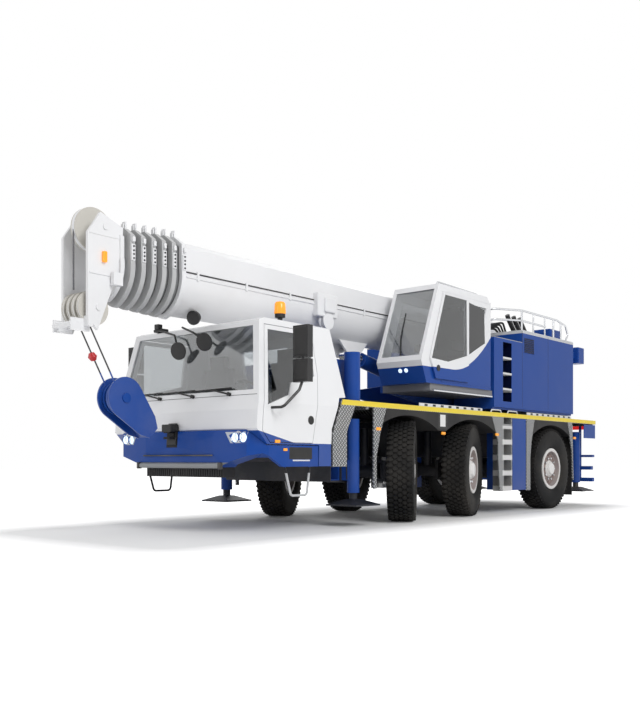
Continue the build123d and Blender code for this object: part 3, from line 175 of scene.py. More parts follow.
def make_wear_group():
    """Road dust and tone changes over a finish: more dust low down and in cloudy patches."""
    tree, given, result = new_group(
        "road wear", "ShaderNodeTree",
        [("Finish", "Color", (0.8, 0.8, 0.8, 1)), ("Dust", "Color", (0.42, 0.38, 0.33, 1)),
         ("Dust Amount", "Float", 0.2), ("Smooth Roughness", "Float", 0.25),
         ("Dusty Roughness", "Float", 0.7), ("Grain Scale", "Float", 60.0)],
        [("Color", "Color"), ("Roughness", "Float"), ("Grain", "Float")])
    clouds = noise(tree, Scale=1.7, Detail=6.0)
    specks = noise(tree, Scale=given["Grain Scale"], Detail=3.0)
    low = ramp(tree, object_axes(tree)[2], From_Min=1.9, From_Max=0.2, To_Min=0.25, To_Max=1.0)
    patches = ramp(tree, clouds, From_Min=0.42, From_Max=0.72)
    cover = product(tree, patches, low, given["Dust Amount"])
    fleck = product(tree, specks, cover)
    mask = maths(tree, "MINIMUM", maths(tree, "ADD", cover, fleck), 1.0)
    tree.links.new(color_mix(tree, mask, given["Finish"], given["Dust"]), result["Color"])
    rough = number_mix(tree, mask, given["Smooth Roughness"], given["Dusty Roughness"])
    tree.links.new(rough, result["Roughness"])
    tree.links.new(specks, result["Grain"])
    return tree


def make_chequer_group():
    """Raised lozenges of chequer plate, lying in turn along one diagonal and the other."""
    tree, given, result = new_group(
        "chequer plate", "ShaderNodeTree", [("Pitch", "Float", 0.03)], [("Height", "Float")])
    x, y, z = object_axes(tree)
    level = maths(tree, "ADD", y, z)
    cells = []
    for way in ("ADD", "SUBTRACT"):
        run = maths(tree, "DIVIDE", maths(tree, way, x, level), given["Pitch"])
        cell = maths(tree, "FLOOR", run)
        offset = maths(tree, "ABSOLUTE", maths(tree, "SUBTRACT", maths(tree, "SUBTRACT", run, cell), 0.5))
        cells.append((cell, offset))
    turn = maths(tree, "ABSOLUTE", maths(tree, "MODULO", maths(tree, "ADD", cells[0][0], cells[1][0]), 2.0))
    bars = [product(tree, maths(tree, "LESS_THAN", cells[long_side][1], 0.42),
                    maths(tree, "LESS_THAN", cells[short_side][1], 0.14))
            for long_side, short_side in ((0, 1), (1, 0))]
    tree.links.new(number_mix(tree, turn, *bars), result["Height"])
    return tree


def make_axle_group():
    """Distance from an axle line."""
    tree, given, result = new_group(
        "axle distance", "ShaderNodeTree",
        [("Centre", "Vector", (0, 0, 0)), ("Axis", "Vector", (0, 1, 0))],
        [("Radius", "Float")])
    arm = vector_maths(tree, "SUBTRACT", object_place(tree), given["Centre"])
    across = vector_maths(tree, "CROSS_PRODUCT", arm, given["Axis"])
    tree.links.new(vector_maths(tree, "LENGTH", across, output="Value"), result["Radius"])
    return tree


WEAR = make_wear_group()
CHEQUER = make_chequer_group()
AXLE = make_axle_group()


# Finish makers

def new_material(name):
    """Material with its node tree and its shader."""
    material = bpy.data.materials.new(name)
    material.use_nodes = True
    return material, material.node_tree, material.node_tree.nodes["Principled BSDF"]


def relief(tree, height, strength, distance):
    """Bumps on a surface from a height."""
    return add_node(tree, "ShaderNodeBump", {"Height": height, "Strength": strength, "Distance": distance})


def worn_finish(name, color, dust=0.25, smooth=0.25, dusty=0.7, bump=0.02, grain=60.0, metallic=0.0, coat=0.0,
                shine=0.35):
    """Painted, moulded or metal surface with road wear over it."""
    material, tree, shader = new_material(name)
    wear = add_node(tree, "ShaderNodeGroup", {
        "Finish": color, "Dust Amount": dust, "Smooth Roughness": smooth, "Dusty Roughness": dusty,
        "Grain Scale": grain}, node_tree=WEAR)
    set_inputs(shader, {
        "Base Color": wear.outputs["Color"], "Roughness": wear.outputs["Roughness"],
        "Normal": relief(tree, wear.outputs["Grain"], bump, 0.002),
        "Metallic": metallic, "Coat Weight": coat, "Specular IOR Level": shine})
    material["wear"] = wear.name
    return material


def overlay(material, mask, color):
    """Second colour on a worn finish where the mask is one."""
    tree = material.node_tree
    given = tree.nodes[material["wear"]].inputs["Finish"]
    below = given.links[0].from_socket if given.links else given.default_value
    tree.links.new(color_mix(tree, mask, below, color), given)


def paint_over(material, mask_maker, color):
    """Second colour on a worn finish; the mask is made from object X, Y and Z."""
    tree = material.node_tree
    overlay(material, mask_maker(tree, *object_axes(tree)), color)


def paint_box(material, color, x=None, y=None, z=None, repeat=None, mirrored=False):
    """Second colour on a worn finish between (low, high) limits on object X, Y and Z.

    repeat = (start, pitch, low, high) keeps the part of each pitch in Z between low and high.
    mirrored takes Y without its sign.
    """
    tree = material.node_tree
    along, across, up = object_axes(tree)
    if mirrored:
        across = maths(tree, "ABSOLUTE", across)
    tests = [between(tree, axis, *limits) for axis, limits in ((along, x), (across, y), (up, z)) if limits]
    if repeat:
        start, pitch, low, high = repeat
        rung = maths(tree, "MODULO", maths(tree, "SUBTRACT", up, start), pitch)
        tests.append(between(tree, rung, low, high))
    overlay(material, product(tree, *tests), color)


def add_chequer(material, pitch):
    """Chequer-plate relief and its rubbed, brighter tops in place of the fine grain."""
    tree = material.node_tree
    height = add_node(tree, "ShaderNodeGroup", {"Pitch": pitch}, node_tree=CHEQUER).outputs[0]
    overlay(material, height, (0.62, 0.63, 0.64))
    set_inputs(tree.nodes["Principled BSDF"], {"Normal": relief(tree, height, 0.9, 0.003)})


def glass_finish(name, tint, index):
    """Tinted glass, cloudy with a little dust."""
    material, tree, shader = new_material(name)
    clouds = noise(tree, Scale=3.0, Detail=5.0)
    haze = ramp(tree, clouds, From_Min=0.4, From_Max=0.8, To_Min=0.02, To_Max=0.08)
    set_inputs(shader, {"Roughness": haze, "Specular IOR Level": 1.0, "Base Color": tint,
                        "Transmission Weight": 1.0, "IOR": index})
    return material


def lamp_finish(name, color, strength, rear=None):
    """Lens that glows a little, in a second colour behind the middle of the machine when one is given."""
    material, tree, shader = new_material(name)
    if rear:
        color = color_mix(tree, maths(tree, "LESS_THAN", object_axes(tree)[0], 0.0), color, rear)
    set_inputs(shader, {
        "Roughness": ramp(tree, noise(tree, Scale=90.0), To_Min=0.08, To_Max=0.22),
        "Base Color": color, "Emission Color": color, "Emission Strength": strength})
    return material


# Finishes

WHITE_PAINT = (0.84, 0.845, 0.86)
BLUE_PAINT = (0.010, 0.062, 0.310)
STRIPE_YELLOW = (0.85, 0.66, 0.04)
PLATE_GREY = (0.13, 0.135, 0.14)

boom_white = worn_finish("boom paint", WHITE_PAINT, dust=0.16, smooth=0.32, coat=0.15)
blue = worn_finish("blue gloss paint", BLUE_PAINT, dust=0.06, smooth=0.35, bump=0.01, shine=0.14)
chassis_grey = worn_finish("chassis paint", (0.012, 0.014, 0.022), dust=0.12, smooth=0.5)
fascia_grey = worn_finish("moulded mudguard", (0.018, 0.018, 0.019), dust=0.08, smooth=0.6, bump=0.10,
                          grain=240.0, shine=0.2)
rubber = worn_finish("tyre rubber", (0.010, 0.010, 0.0105), dust=0.07, smooth=0.70, dusty=0.9, bump=0.25,
                     grain=160.0, shine=0.15)
rim_white = worn_finish("rim paint", (0.90, 0.89, 0.88), dust=0.12, smooth=0.35)
plastic = worn_finish("black plastic", (0.009, 0.009, 0.010), dust=0.05, smooth=0.42, bump=0.15,
                            grain=320.0)
dark_iron = worn_finish("dark iron", (0.05, 0.05, 0.055), dust=0.30, smooth=0.45, metallic=0.6)
steel = worn_finish("bright steel", (0.62, 0.63, 0.65), dust=0.12, metallic=0.9)
rope_steel = worn_finish("steel rope", (0.10, 0.10, 0.11), smooth=0.42, metallic=0.8, bump=0.4, grain=500.0)
chrome = worn_finish("polished rod", (0.75, 0.76, 0.78), dust=0.05, smooth=0.08, metallic=1.0)
seat_cloth = worn_finish("seat cloth", (0.055, 0.058, 0.065), dust=0.05, smooth=0.85, dusty=0.95, bump=0.4,
                         grain=700.0)
sheave_nylon = worn_finish("cast nylon", (0.62, 0.60, 0.55), smooth=0.45)
amber = lamp_finish("amber lens", (0.95, 0.35, 0.02), 0.35)
headlight = lamp_finish("headlight lens", (0.72, 0.88, 1.0), 0.9, rear=(0.55, 0.02, 0.02))
ball_red = worn_finish("red ball paint", (0.55, 0.02, 0.025), dust=0.1, smooth=0.3, coat=0.3)
dark_glass = glass_finish("tinted glass", (0.42, 0.44, 0.45), 1.7)
clear_glass = glass_finish("cab glass", (0.80, 0.83, 0.85), 2.1)
window_black = worn_finish("window border", (0.012, 0.013, 0.015), dust=0.03, smooth=0.06, coat=0.5)
trim_grey = worn_finish("lamp trim", (0.50, 0.54, 0.60), dust=0.05, smooth=0.2, coat=0.3)
decal_white = worn_finish("blank label", (0.80, 0.80, 0.80), dust=0.15, smooth=0.45)

# Finishes of the frame's own nodes, with their second colours

LADDER_X = (ahead(-2.90), ahead(-2.58))
RECESS_X = (ahead(-2.935), ahead(-2.635))
BLACK_EDGE = (0.016, 0.016, 0.018)

deck_paint = worn_finish("chequer deck", PLATE_GREY, smooth=0.42, metallic=0.35)
add_chequer(deck_paint, 0.055)
paint_box(deck_paint, (0.66, 0.66, 0.66), x=LADDER_X, z=(None, 1.40), repeat=(0.19, 0.249, 0.158, None))
paint_box(deck_paint, STRIPE_YELLOW, y=(BODY_HALF - 0.0015, None), z=(DECK_TOP - 0.066, DECK_TOP + 0.001),
          mirrored=True)


def cab_blue(tree, x, y, z):
    """Blue below a line that climbs towards the bumper."""
    climb = product(tree, maths(tree, "MAXIMUM", maths(tree, "SUBTRACT", x, ahead(2.35)), 0.0), 0.22)
    return maths(tree, "LESS_THAN", maths(tree, "SUBTRACT", z, climb), 1.045)


def opcab_blue(tree, x, y, z):
    """Blue below a bow that rises to the back."""
    run = maths(tree, "MAXIMUM", maths(tree, "SUBTRACT", ahead(-1.05), x), 0.0)
    return maths(tree, "LESS_THAN", z, maths(tree, "ADD", product(tree, run, run, 0.42), 2.17))


cab_paint = worn_finish("cab two-tone paint", WHITE_PAINT, dust=0.06, bump=0.01, coat=0.15)
door_paint = worn_finish("door two-tone paint", WHITE_PAINT, dust=0.06, bump=0.01, coat=0.15)
opcab_paint = worn_finish("operator cab paint", WHITE_PAINT, dust=0.05, smooth=0.28, bump=0.01, coat=0.1,
                          shine=0.14)
paint_over(cab_paint, cab_blue, BLUE_PAINT)
paint_over(door_paint, cab_blue, BLUE_PAINT)
paint_over(opcab_paint, opcab_blue, BLUE_PAINT)
paint_box(door_paint, BLACK_EDGE, y=(BODY_HALF + 0.004, None), mirrored=True)

turntable_paint = worn_finish("turntable paint", BLUE_PAINT, dust=0.08, smooth=0.35, shine=0.14)
paint_box(turntable_paint, (0.22, 0.22, 0.23), y=(0.395, None), z=(1.80, 1.95))

housing_paint = worn_finish("housing paint", BLUE_PAINT, dust=0.05, smooth=0.35, shine=0.14)
paint_box(housing_paint, (0.60, 0.61, 0.63), z=(HOUSING_TOP - 0.045, None))
paint_box(housing_paint, (0.40, 0.41, 0.42), x=(ahead(-3.297), None), z=(2.790, None))
# Painted shade: near-black blue over the inside of the ladder recess, behind the rungs
paint_box(housing_paint, (0.003, 0.006, 0.030), x=RECESS_X, y=(1.04, 1.245), z=(1.785, 2.745))
paint_box(housing_paint, (0.75, 0.75, 0.75), x=(ahead(-2.932), ahead(-2.638)), y=(1.06, None), z=(1.95, 2.60),
          repeat=(1.973, 0.25, None, 0.034))

bumper_paint = worn_finish("bumper paint", BLUE_PAINT, dust=0.06, smooth=0.30, shine=0.14)
paint_box(bumper_paint, (0.020, 0.020, 0.023), z=(None, 0.768))
paint_box(bumper_paint, (0.30, 0.31, 0.32), x=(ahead(2.984), None), z=(0.740, 0.822))
paint_box(bumper_paint, (0.014, 0.014, 0.016), x=(ahead(3.0), None), y=(-0.20, 0.0), z=(1.0, None))
paint_box(bumper_paint, (0.55, 0.56, 0.57), y=(1.0, None), z=(None, 0.700))

hook_paint = worn_finish("hook block paint", BLUE_PAINT, dust=0.15, smooth=0.3, coat=0.2)
paint_box(hook_paint, (0.030, 0.030, 0.032), z=(1.815, None))


def section_finish(number):
    """White tube with a grey band behind its collar, partly painted shade in the gap between collars and
    partly the greasy bare tube, and a light grey collar.
    """
    material = worn_finish(f"section paint {number}", WHITE_PAINT, dust=0.18, smooth=0.36, coat=0.1)
    front = COLLAR_FRONT + number * COLLAR_PITCH
    # Grey band: painted shade of the gap between collars, partly the greasy bare tube's own grey
    paint_box(material, (0.20, 0.205, 0.21), x=(ahead(front - COLLAR_PITCH - 0.012), None))
    paint_box(material, (0.50, 0.505, 0.51), x=(ahead(front - COLLAR_LENGTH - 0.001), None))
    return material


def wheel_place(number, way):
    """Wheel centre and outward axis at rest."""
    angle = radians(REST_STEER[number, way])
    outward = Vector((-sin(angle), cos(angle), 0)) * way
    kingpin = Vector((FRONT_AXLE - AXLES_BACK[number], way * KINGPIN_Y, AXLE_HEIGHT))
    return kingpin + outward * KINGPIN_INSET, outward


def rim_finish(number, side):
    """White rim and hub with a dusty wall and a red-brown dish between them."""
    material = worn_finish(f"rim paint {number} {side}", (0.78, 0.765, 0.75), dust=0.22, smooth=0.35)
    tree = material.node_tree
    centre, outward = wheel_place(number, SIDES[side])
    span = add_node(tree, "ShaderNodeGroup", {"Centre": centre, "Axis": outward}, node_tree=AXLE).outputs[0]
    overlay(material, between(tree, span, DISH_RADIUS, RIM_WALL_RADIUS), (0.42, 0.37, 0.365))
    overlay(material, between(tree, span, HUB_RADIUS, DISH_RADIUS), (0.27, 0.20, 0.185))
    return material


NODE_FINISH = {
    "chassis_frame": chassis_grey, "axles": chassis_grey, "engine_block": dark_iron, "deck": deck_paint,
    "mudguards": fascia_grey, "deck_boxes": blue, "front_bumper": bumper_paint, "lamps": headlight,
    "cab_shell": cab_paint, "cab_glass": clear_glass, "cab_interior": seat_cloth,
    "turntable": turntable_paint, "housings": housing_paint, "counterweight": housing_paint,
    "winch": dark_iron, "railing": steel, "opcab_shell": opcab_paint, "opcab_glass": clear_glass,
    "opcab_door": dark_glass, "opcab_seat": seat_cloth, "boom_base": boom_white, "lift_barrel": blue,
    "lift_rod": chrome, "hook_block": hook_paint,
}
for side in SIDES:
    NODE_FINISH[f"cab_door_{side}"] = door_paint
    NODE_FINISH[f"cab_door_glass_{side}"] = dark_glass
    for place in ("front", "rear"):
        NODE_FINISH[f"outrigger_beam_{place}_{side}"] = blue
        NODE_FINISH[f"jack_{place}_{side}"] = chassis_grey
    for number in AXLES_BACK:
        NODE_FINISH[f"tyre_{number}_{side}"] = rubber
        NODE_FINISH[f"rim_{number}_{side}"] = rim_finish(number, side)
        NODE_FINISH[f"knuckle_{number}_{side}"] = chassis_grey
for number in range(1, SECTIONS):
    NODE_FINISH[f"boom_section_{number}"] = section_finish(number)
NODE_FINISH[f"boom_section_{SECTIONS}"] = boom_white
for name, finish in NODE_FINISH.items():
    data = nodes[name].data
    data.materials.clear()
    data.materials.append(finish)

# The slot that the pieces of each finish fill
SLOTS = {
    "dark_plastic": (plastic, window_black), "dark_metal": (dark_iron, rope_steel),
    "lamp": (amber, headlight), "glass": (dark_glass,), "blue_paint": (blue, ball_red),
    "white_paint": (boom_white, opcab_paint, decal_white, trim_grey, sheave_nylon),
    "bright_steel": (steel,), "rim_white": (rim_white,), "tyre": (rubber,),
}
for slot, finishes in SLOTS.items():
    for finish in finishes:
        finish["slot"] = slot


# Piece makers

def in_scene(name, data):
    """Object in the scene with that data."""
    thing = bpy.data.objects.new(name, data)
    bpy.context.scene.collection.objects.link(thing)
    return thing


def settle(name, mesh, finish, body):
    """Mesh as a named piece of one finish that rides on a body."""
    if finish.name not in mesh.materials:
        mesh.materials.append(finish)
    piece = in_scene(name, mesh)
    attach(piece, body)
    return piece


def mesh_of(name, shape):
    """Mesh from a bmesh, which is freed."""
    mesh = bpy.data.meshes.new(name)
    shape.to_mesh(mesh)
    shape.free()
    return mesh


def from_bmesh(name, shape, finish, body, smooth=False):
    """Piece from a bmesh, with outward faces."""
    bmesh.ops.recalc_face_normals(shape, faces=shape.faces)
    mesh = mesh_of(name, shape)
    if smooth:
        mesh.shade_smooth()
    return settle(name, mesh, finish, body)


def blocks(name, boxes, finish, body, edge=0.004):
    """Piece made of boxes with rounded edges, each given by two opposite corners."""
    shape = bmesh.new()
    for corners in boxes:
        low, high = (Vector([pick(pair) for pair in zip(*corners)]) for pick in (min, max))
        verts = bmesh.ops.create_cube(shape, size=1.0)["verts"]
        bmesh.ops.scale(shape, vec=high - low, verts=verts)
        bmesh.ops.translate(shape, vec=(low + high) / 2, verts=verts)
        bmesh.ops.bevel(shape, geom=list({e for v in verts for e in v.link_edges}), segments=2, profile=0.5,
                        offset=min(edge, min(high - low) * 0.45), affect="EDGES")
    return from_bmesh(name, shape, finish, body)


def plate(name, outline, thickness, finish, body):
    """Flat plate: outline points in space, pushed out by the thickness vector."""
    shape = bmesh.new()
    face = shape.faces.new([shape.verts.new(p) for p in outline])
    pushed = bmesh.ops.extrude_face_region(shape, geom=[face])
    moved = [v for v in pushed["geom"] if isinstance(v, bmesh.types.BMVert)]
    bmesh.ops.translate(shape, vec=thickness, verts=moved)
    return from_bmesh(name, shape, finish, body)


def facing(axis, centre):
    """Matrix that turns local Z to an axis and moves the origin to a centre."""
    return Matrix.Translation(Vector(centre)) @ Vector(axis).to_track_quat("Z", "Y").to_matrix().to_4x4()


def lathe_shape(shape, profile, matrix, steps):
    """Closed turned form from (radius, height) points, added to a bmesh."""
    rings = []
    for radius, height in profile:
        turns = [2 * pi * i / steps for i in range(steps if radius else 1)]
        places = [matrix @ Vector((radius * cos(a), radius * sin(a), height)) for a in turns]
        rings.append([shape.verts.new(place) for place in places])
    for lower, upper in zip(rings, rings[1:]):
        for i in range(steps):
            j = (i + 1) % steps
            corners = [lower[i % len(lower)], lower[j % len(lower)],
                       upper[j % len(upper)], upper[i % len(upper)]]
            corners = [v for k, v in enumerate(corners) if v not in corners[:k]]
            if len(corners) > 2:
                shape.faces.new(corners)


def lathe(name, profile, axis, centre, finish, body, steps=32):
    """Turned piece: (radius, height) profile about an axis through a centre."""
    shape = bmesh.new()
    lathe_shape(shape, profile, facing(axis, centre), steps)
    piece = from_bmesh(name, shape, finish, body, smooth=True)
    piece.data.set_sharp_from_angle(angle=radians(35))
    return piece


def eased_corners(points, bend):
    """Points with two more before and after each corner, at the bend's length from it."""
    eased = [points[0]]
    for before, corner, after in zip(points, points[1:], points[2:]):
        into, out = (corner + (other - corner).normalized() * min(bend, (other - corner).length * 0.45)
                     for other in (before, after))
        eased += [into, corner, out]
    return eased + [points[-1]]


def plain_mesh(holder):
    """Mesh of an object as its curve or its modifiers make it; the object goes."""
    mesh = bpy.data.meshes.new_from_object(holder.evaluated_get(bpy.context.evaluated_depsgraph_get()))
    bpy.data.objects.remove(holder)
    return mesh


def tube(name, runs, radius, finish, body, bend=0.0, sides=10):
    """Piece of round tubes, each run a list of points with its corners eased when bend is above zero."""
    curve = bpy.data.curves.new(name, "CURVE")
    curve.dimensions = "3D"
    curve.bevel_depth = radius
    curve.bevel_resolution = sides // 4
    curve.resolution_u = 6
    curve.use_fill_caps = True
    for points in runs:
        spline = curve.splines.new("NURBS" if bend else "POLY")
        points = [Vector(p) for p in points]
        if bend:
            points = eased_corners(points, bend)
        spline.points.add(len(points) - 1)
        for target, point in zip(spline.points, points):
            target.co = (*point, 1.0)
        if bend:
            spline.order_u = 3
            spline.use_endpoint_u = True
    mesh = plain_mesh(in_scene(name, curve))
    mesh.name = name
    mesh.shade_smooth()
    return settle(name, mesh, finish, body)


# Geometry node trees

def end_tree(tree, grid, finish, result):
    """Instances made real and given their finish."""
    real = add_node(tree, "GeometryNodeRealizeInstances", {0: grid})
    done = add_node(tree, "GeometryNodeSetMaterial", {"Geometry": real, "Material": finish})
    tree.links.new(done.outputs[0], result)
    return tree


def make_ring_tree():
    """Rows of many-sided blocks standing round the Z axis."""
    tree, given, result = new_group(
        "blocks in rings", "GeometryNodeTree",
        [("Radius", "Float", 0.7), ("Count", "Int", 60), ("Rows", "Int", 1),
         ("Row Pitch", "Float", 0.06), ("Sides", "Int", 6),
         ("Block Radius", "Float", 0.03), ("Block Depth", "Float", 0.02),
         ("Block Stretch", "Vector", (1.0, 1.0, 1.0)), ("Half Step", "Float", 0.0),
         ("Finish", "Material", None)],
        [("Blocks", "Geometry")])
    block = add_node(tree, "GeometryNodeMeshCylinder", {
        "Vertices": given["Sides"], "Radius": given["Block Radius"], "Depth": given["Block Depth"]})
    ring = add_node(tree, "GeometryNodeMeshCircle", {"Vertices": given["Count"], "Radius": given["Radius"]})
    place = add_node(tree, "GeometryNodeInputPosition")
    outward = add_node(tree, "FunctionNodeAlignEulerToVector", {"Vector": place}, axis="Z", pivot_axis="AUTO")
    around = add_node(tree, "GeometryNodeInstanceOnPoints", {
        "Points": ring, "Instance": block, "Rotation": outward, "Scale": given["Block Stretch"]})
    last = maths(tree, "SUBTRACT", given["Rows"], 1.0)
    start = add_node(tree, "ShaderNodeCombineXYZ", {"Z": product(tree, last, given["Row Pitch"], -0.5)})
    step = add_node(tree, "ShaderNodeCombineXYZ", {"Z": given["Row Pitch"]})
    rows = add_node(tree, "GeometryNodeMeshLine", {
        "Count": given["Rows"], "Start Location": start, "Offset": step})
    odd = maths(tree, "MODULO", add_node(tree, "GeometryNodeInputIndex"), 2.0)
    turn = add_node(tree, "ShaderNodeCombineXYZ", {"Z": product(tree, odd, given["Half Step"])})
    side_by_side = add_node(tree, "GeometryNodeInstanceOnPoints", {
        "Points": rows, "Instance": around, "Rotation": turn})
    return end_tree(tree, side_by_side, given["Finish"], result["Blocks"])


def make_row_tree():
    """Grid of bars: a row along X repeated along Z."""
    tree, given, result = new_group(
        "bars in rows", "GeometryNodeTree",
        [("Count", "Int", 10), ("Step", "Vector", (0.1, 0.0, 0.0)),
         ("Rows", "Int", 1), ("Row Step", "Vector", (0.0, 0.0, 0.1)),
         ("Bar Size", "Vector", (0.02, 0.02, 0.1)), ("Finish", "Material", None)],
        [("Bars", "Geometry")])
    bar = add_node(tree, "GeometryNodeMeshCube", {"Size": given["Bar Size"]})
    line = add_node(tree, "GeometryNodeMeshLine", {"Count": given["Count"], "Offset": given["Step"]})
    row = add_node(tree, "GeometryNodeInstanceOnPoints", {"Points": line, "Instance": bar})
    rows = add_node(tree, "GeometryNodeMeshLine", {"Count": given["Rows"], "Offset": given["Row Step"]})
    grid = add_node(tree, "GeometryNodeInstanceOnPoints", {"Points": rows, "Instance": row})
    return end_tree(tree, grid, given["Finish"], result["Bars"])


RING = make_ring_tree()
ROW = make_row_tree()


def grown(tree, matrix, **sizes):
    """Plain mesh that a geometry tree makes with those inputs, put in place by a matrix."""
    holder = in_scene("grown", bpy.data.meshes.new("grown"))
    modifier = holder.modifiers.new("grow", "NODES")
    modifier.node_group = tree
    for key, value in sizes.items():
        modifier[tree.interface.items_tree[key.replace("_", " ")].identifier] = value
    mesh = plain_mesh(holder)
    mesh.transform(matrix)
    return mesh


def grown_piece(name, tree, matrix, finish, body, slot=None, **sizes):
    """Piece that a geometry tree makes."""
    return settle(name, grown(tree, matrix, Finish=finish, **sizes), finish, body)


# Wheels: treaded tyre over each plain one, wheel nuts and hub cap

TREAD_DEPTH = 0.022
TREAD_COUNT = 54
SHOULDER = 0.160
TYRE_SIDE = [(BEAD_RADIUS + 0.001, 0.149), (0.360, 0.149), (0.372, 0.160), (0.440, 0.186),
             (0.520, TYRE_HALF - 0.002), (0.600, 0.187), (0.652, 0.176), (0.672, 0.158),
             (TYRE_RADIUS - TREAD_DEPTH, 0.125)]
HUB_CAP = [(0, 0.1485), (0.105, 0.1485), (0.105, 0.165), (0.092, 0.178), (0, 0.182)]
TYRE_PROFILE = [(r, -h) for r, h in TYRE_SIDE] + TYRE_SIDE[::-1] + [(BEAD_RADIUS + 0.001, -0.149)]


def treaded_tyre(number, side, place):
    """Tyre with staggered tread blocks and shoulder lugs, in place of the frame's plain one."""
    shape = bmesh.new()
    lathe_shape(shape, TYRE_PROFILE, place, 96)
    bmesh.ops.remove_doubles(shape, verts=shape.verts, dist=1e-5)
    bmesh.ops.recalc_face_normals(shape, faces=shape.faces)
    for face in shape.faces:
        face.smooth = True
    shape.from_mesh(grown(
        RING, place, Radius=TYRE_RADIUS - TREAD_DEPTH / 2 - 0.002, Count=TREAD_COUNT, Rows=5,
        Block_Radius=0.035, Block_Depth=TREAD_DEPTH + 0.003, Block_Stretch=(0.98, 0.84, 1.0),
        Half_Step=pi / TREAD_COUNT))
    for edge in (SHOULDER, -SHOULDER):
        shape.from_mesh(grown(RING, place @ Matrix.Translation((0, 0, edge)), Radius=0.670, Count=TREAD_COUNT,
                              Sides=4, Block_Depth=0.034, Block_Stretch=(0.72, 0.85, 1.0)))
    name = f"treaded_tyre_{number}_{side}"
    tyre = settle(name, mesh_of(name, shape), rubber, f"wheel_{number}_{side}")
    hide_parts(f"tyre_{number}_{side}")


for number in AXLES_BACK:
    for side, way in SIDES.items():
        centre, outward = wheel_place(number, way)
        place = facing(outward, centre)
        wheel = f"wheel_{number}_{side}"
        treaded_tyre(number, side, place)
        grown_piece(f"wheel_nuts_{number}_{side}", RING, place @ Matrix.Translation((0, 0, 0.128)), steel,
                    wheel, "rim_white", Radius=0.185, Count=10, Block_Radius=0.016, Block_Depth=0.030)
        lathe(f"hub_cap_{number}_{side}", HUB_CAP, outward, centre, rim_white, wheel, 36)

# Driver's cab

SCREEN_LEAN = 0.1902
SCREEN_FOOT = 1.42
SEAM_Z = 1.585
CAB_ROOF = 2.475
BEACON_X, BEACON_Y = 2.32, 1.0


def screen_x(z, proud=0.0):
    """X of the windscreen's outer face at a height, stood off by that much."""
    return ahead(2.975 - (z - SCREEN_FOOT) * SCREEN_LEAN) - 0.012 + proud


for index, y in enumerate((-0.42, 0.18, 0.80), start=1):
    foot = (screen_x(1.60, 0.030), y, 1.60)
    knee = (screen_x(1.66, 0.035), y - 0.28, 1.66)
    blade = [(screen_x(1.655, 0.020), y + 0.02, 1.672), (screen_x(1.70, 0.020), y - 0.66, 1.662)]
    tube(f"wiper_arm_{index}", [[foot, knee]], 0.010, plastic, CARRIER)
    tube(f"wiper_blade_{index}", [blade], 0.009, plastic, CARRIER)
    lathe(f"wiper_hub_{index}", [(0, -0.03), (0.022, -0.03), (0.022, 0.02), (0, 0.024)], (1, 0, 0.2), foot,
          plastic, CARRIER, 16)
blocks("front_seam", [(at(2.940, -1.235, SEAM_Z - 0.003), (screen_x(SEAM_Z, 0.0135), 1.235, SEAM_Z + 0.003))],
       plastic, CARRIER, 0.001)

for side, way in SIDES.items():
    door = f"door_{side}"
    for low, high in ((1.735, 1.985), (2.015, 2.365)):
        blocks(f"mirror_rim_{side}_{round(low * 1000)}",
               [(at(2.43, way * 1.392, low), at(2.53, way * 1.608, high))], plastic, door, 0.022)
    lathe(f"door_pull_{side}", [(0, -0.004), (0.052, -0.004), (0.052, 0.004), (0.040, 0.005), (0, 0.001)],
          (0, way, 0), at(2.08, way * (BODY_HALF - 0.001), 1.32), plastic, door)
    blocks(f"side_lamps_{side}", [(at(2.62, way * 1.270, 1.045), at(2.70, way * 1.284, 1.080)),
                                  (at(2.50, way * 1.270, 0.955), at(2.56, way * 1.284, 0.985))],
           amber, CARRIER, 0.003)
    blocks(f"sill_step_{side}", [(at(2.10, way * 1.262, 0.838), at(2.40, way * 1.278, 0.856))],
           steel, CARRIER, 0.003)
    blocks(f"sill_pocket_{side}", [(at(2.06, way * 1.266, 0.86), at(2.46, way * 1.2765, 1.00))],
           plastic, CARRIER, 0.003)


def skin(node, origin, direction):
    """Point where a ray first meets a frame node."""
    hit, place, _, _ = nodes[node].ray_cast(Vector(origin), Vector(direction))
    if not hit:
        raise ValueError(f"nothing of {node} at {origin}")
    return place


def laid_on(name, node, outline, direction, lift, thickness, finish, body, steps):
    """Thin plate that follows a node: a four-cornered outline thrown onto it and lifted off."""
    direction = Vector(direction)
    corners = [Vector(p) for p in outline]
    shape = bmesh.new()
    rows = []
    for i in range(steps + 1):
        start, end = corners[0].lerp(corners[3], i / steps), corners[1].lerp(corners[2], i / steps)
        hits = [skin(node, start.lerp(end, j / steps), direction) - direction * lift
                for j in range(steps + 1)]
        rows.append([(shape.verts.new(h), shape.verts.new(h - direction * thickness)) for h in hits])
    for layer in (0, 1):
        for upper, lower in zip(rows, rows[1:]):
            for j in range(steps):
                shape.faces.new((upper[j][layer], upper[j + 1][layer], lower[j + 1][layer], lower[j][layer]))
    edge = [rows[0][j] for j in range(steps)] + [rows[i][steps] for i in range(steps)]
    edge += [rows[steps][j] for j in range(steps, 0, -1)] + [rows[i][0] for i in range(steps, 0, -1)]
    for first, second in zip(edge, edge[1:] + edge[:1]):
        shape.faces.new((first[0], second[0], second[1], first[1]))
    return from_bmesh(name, shape, finish, body)


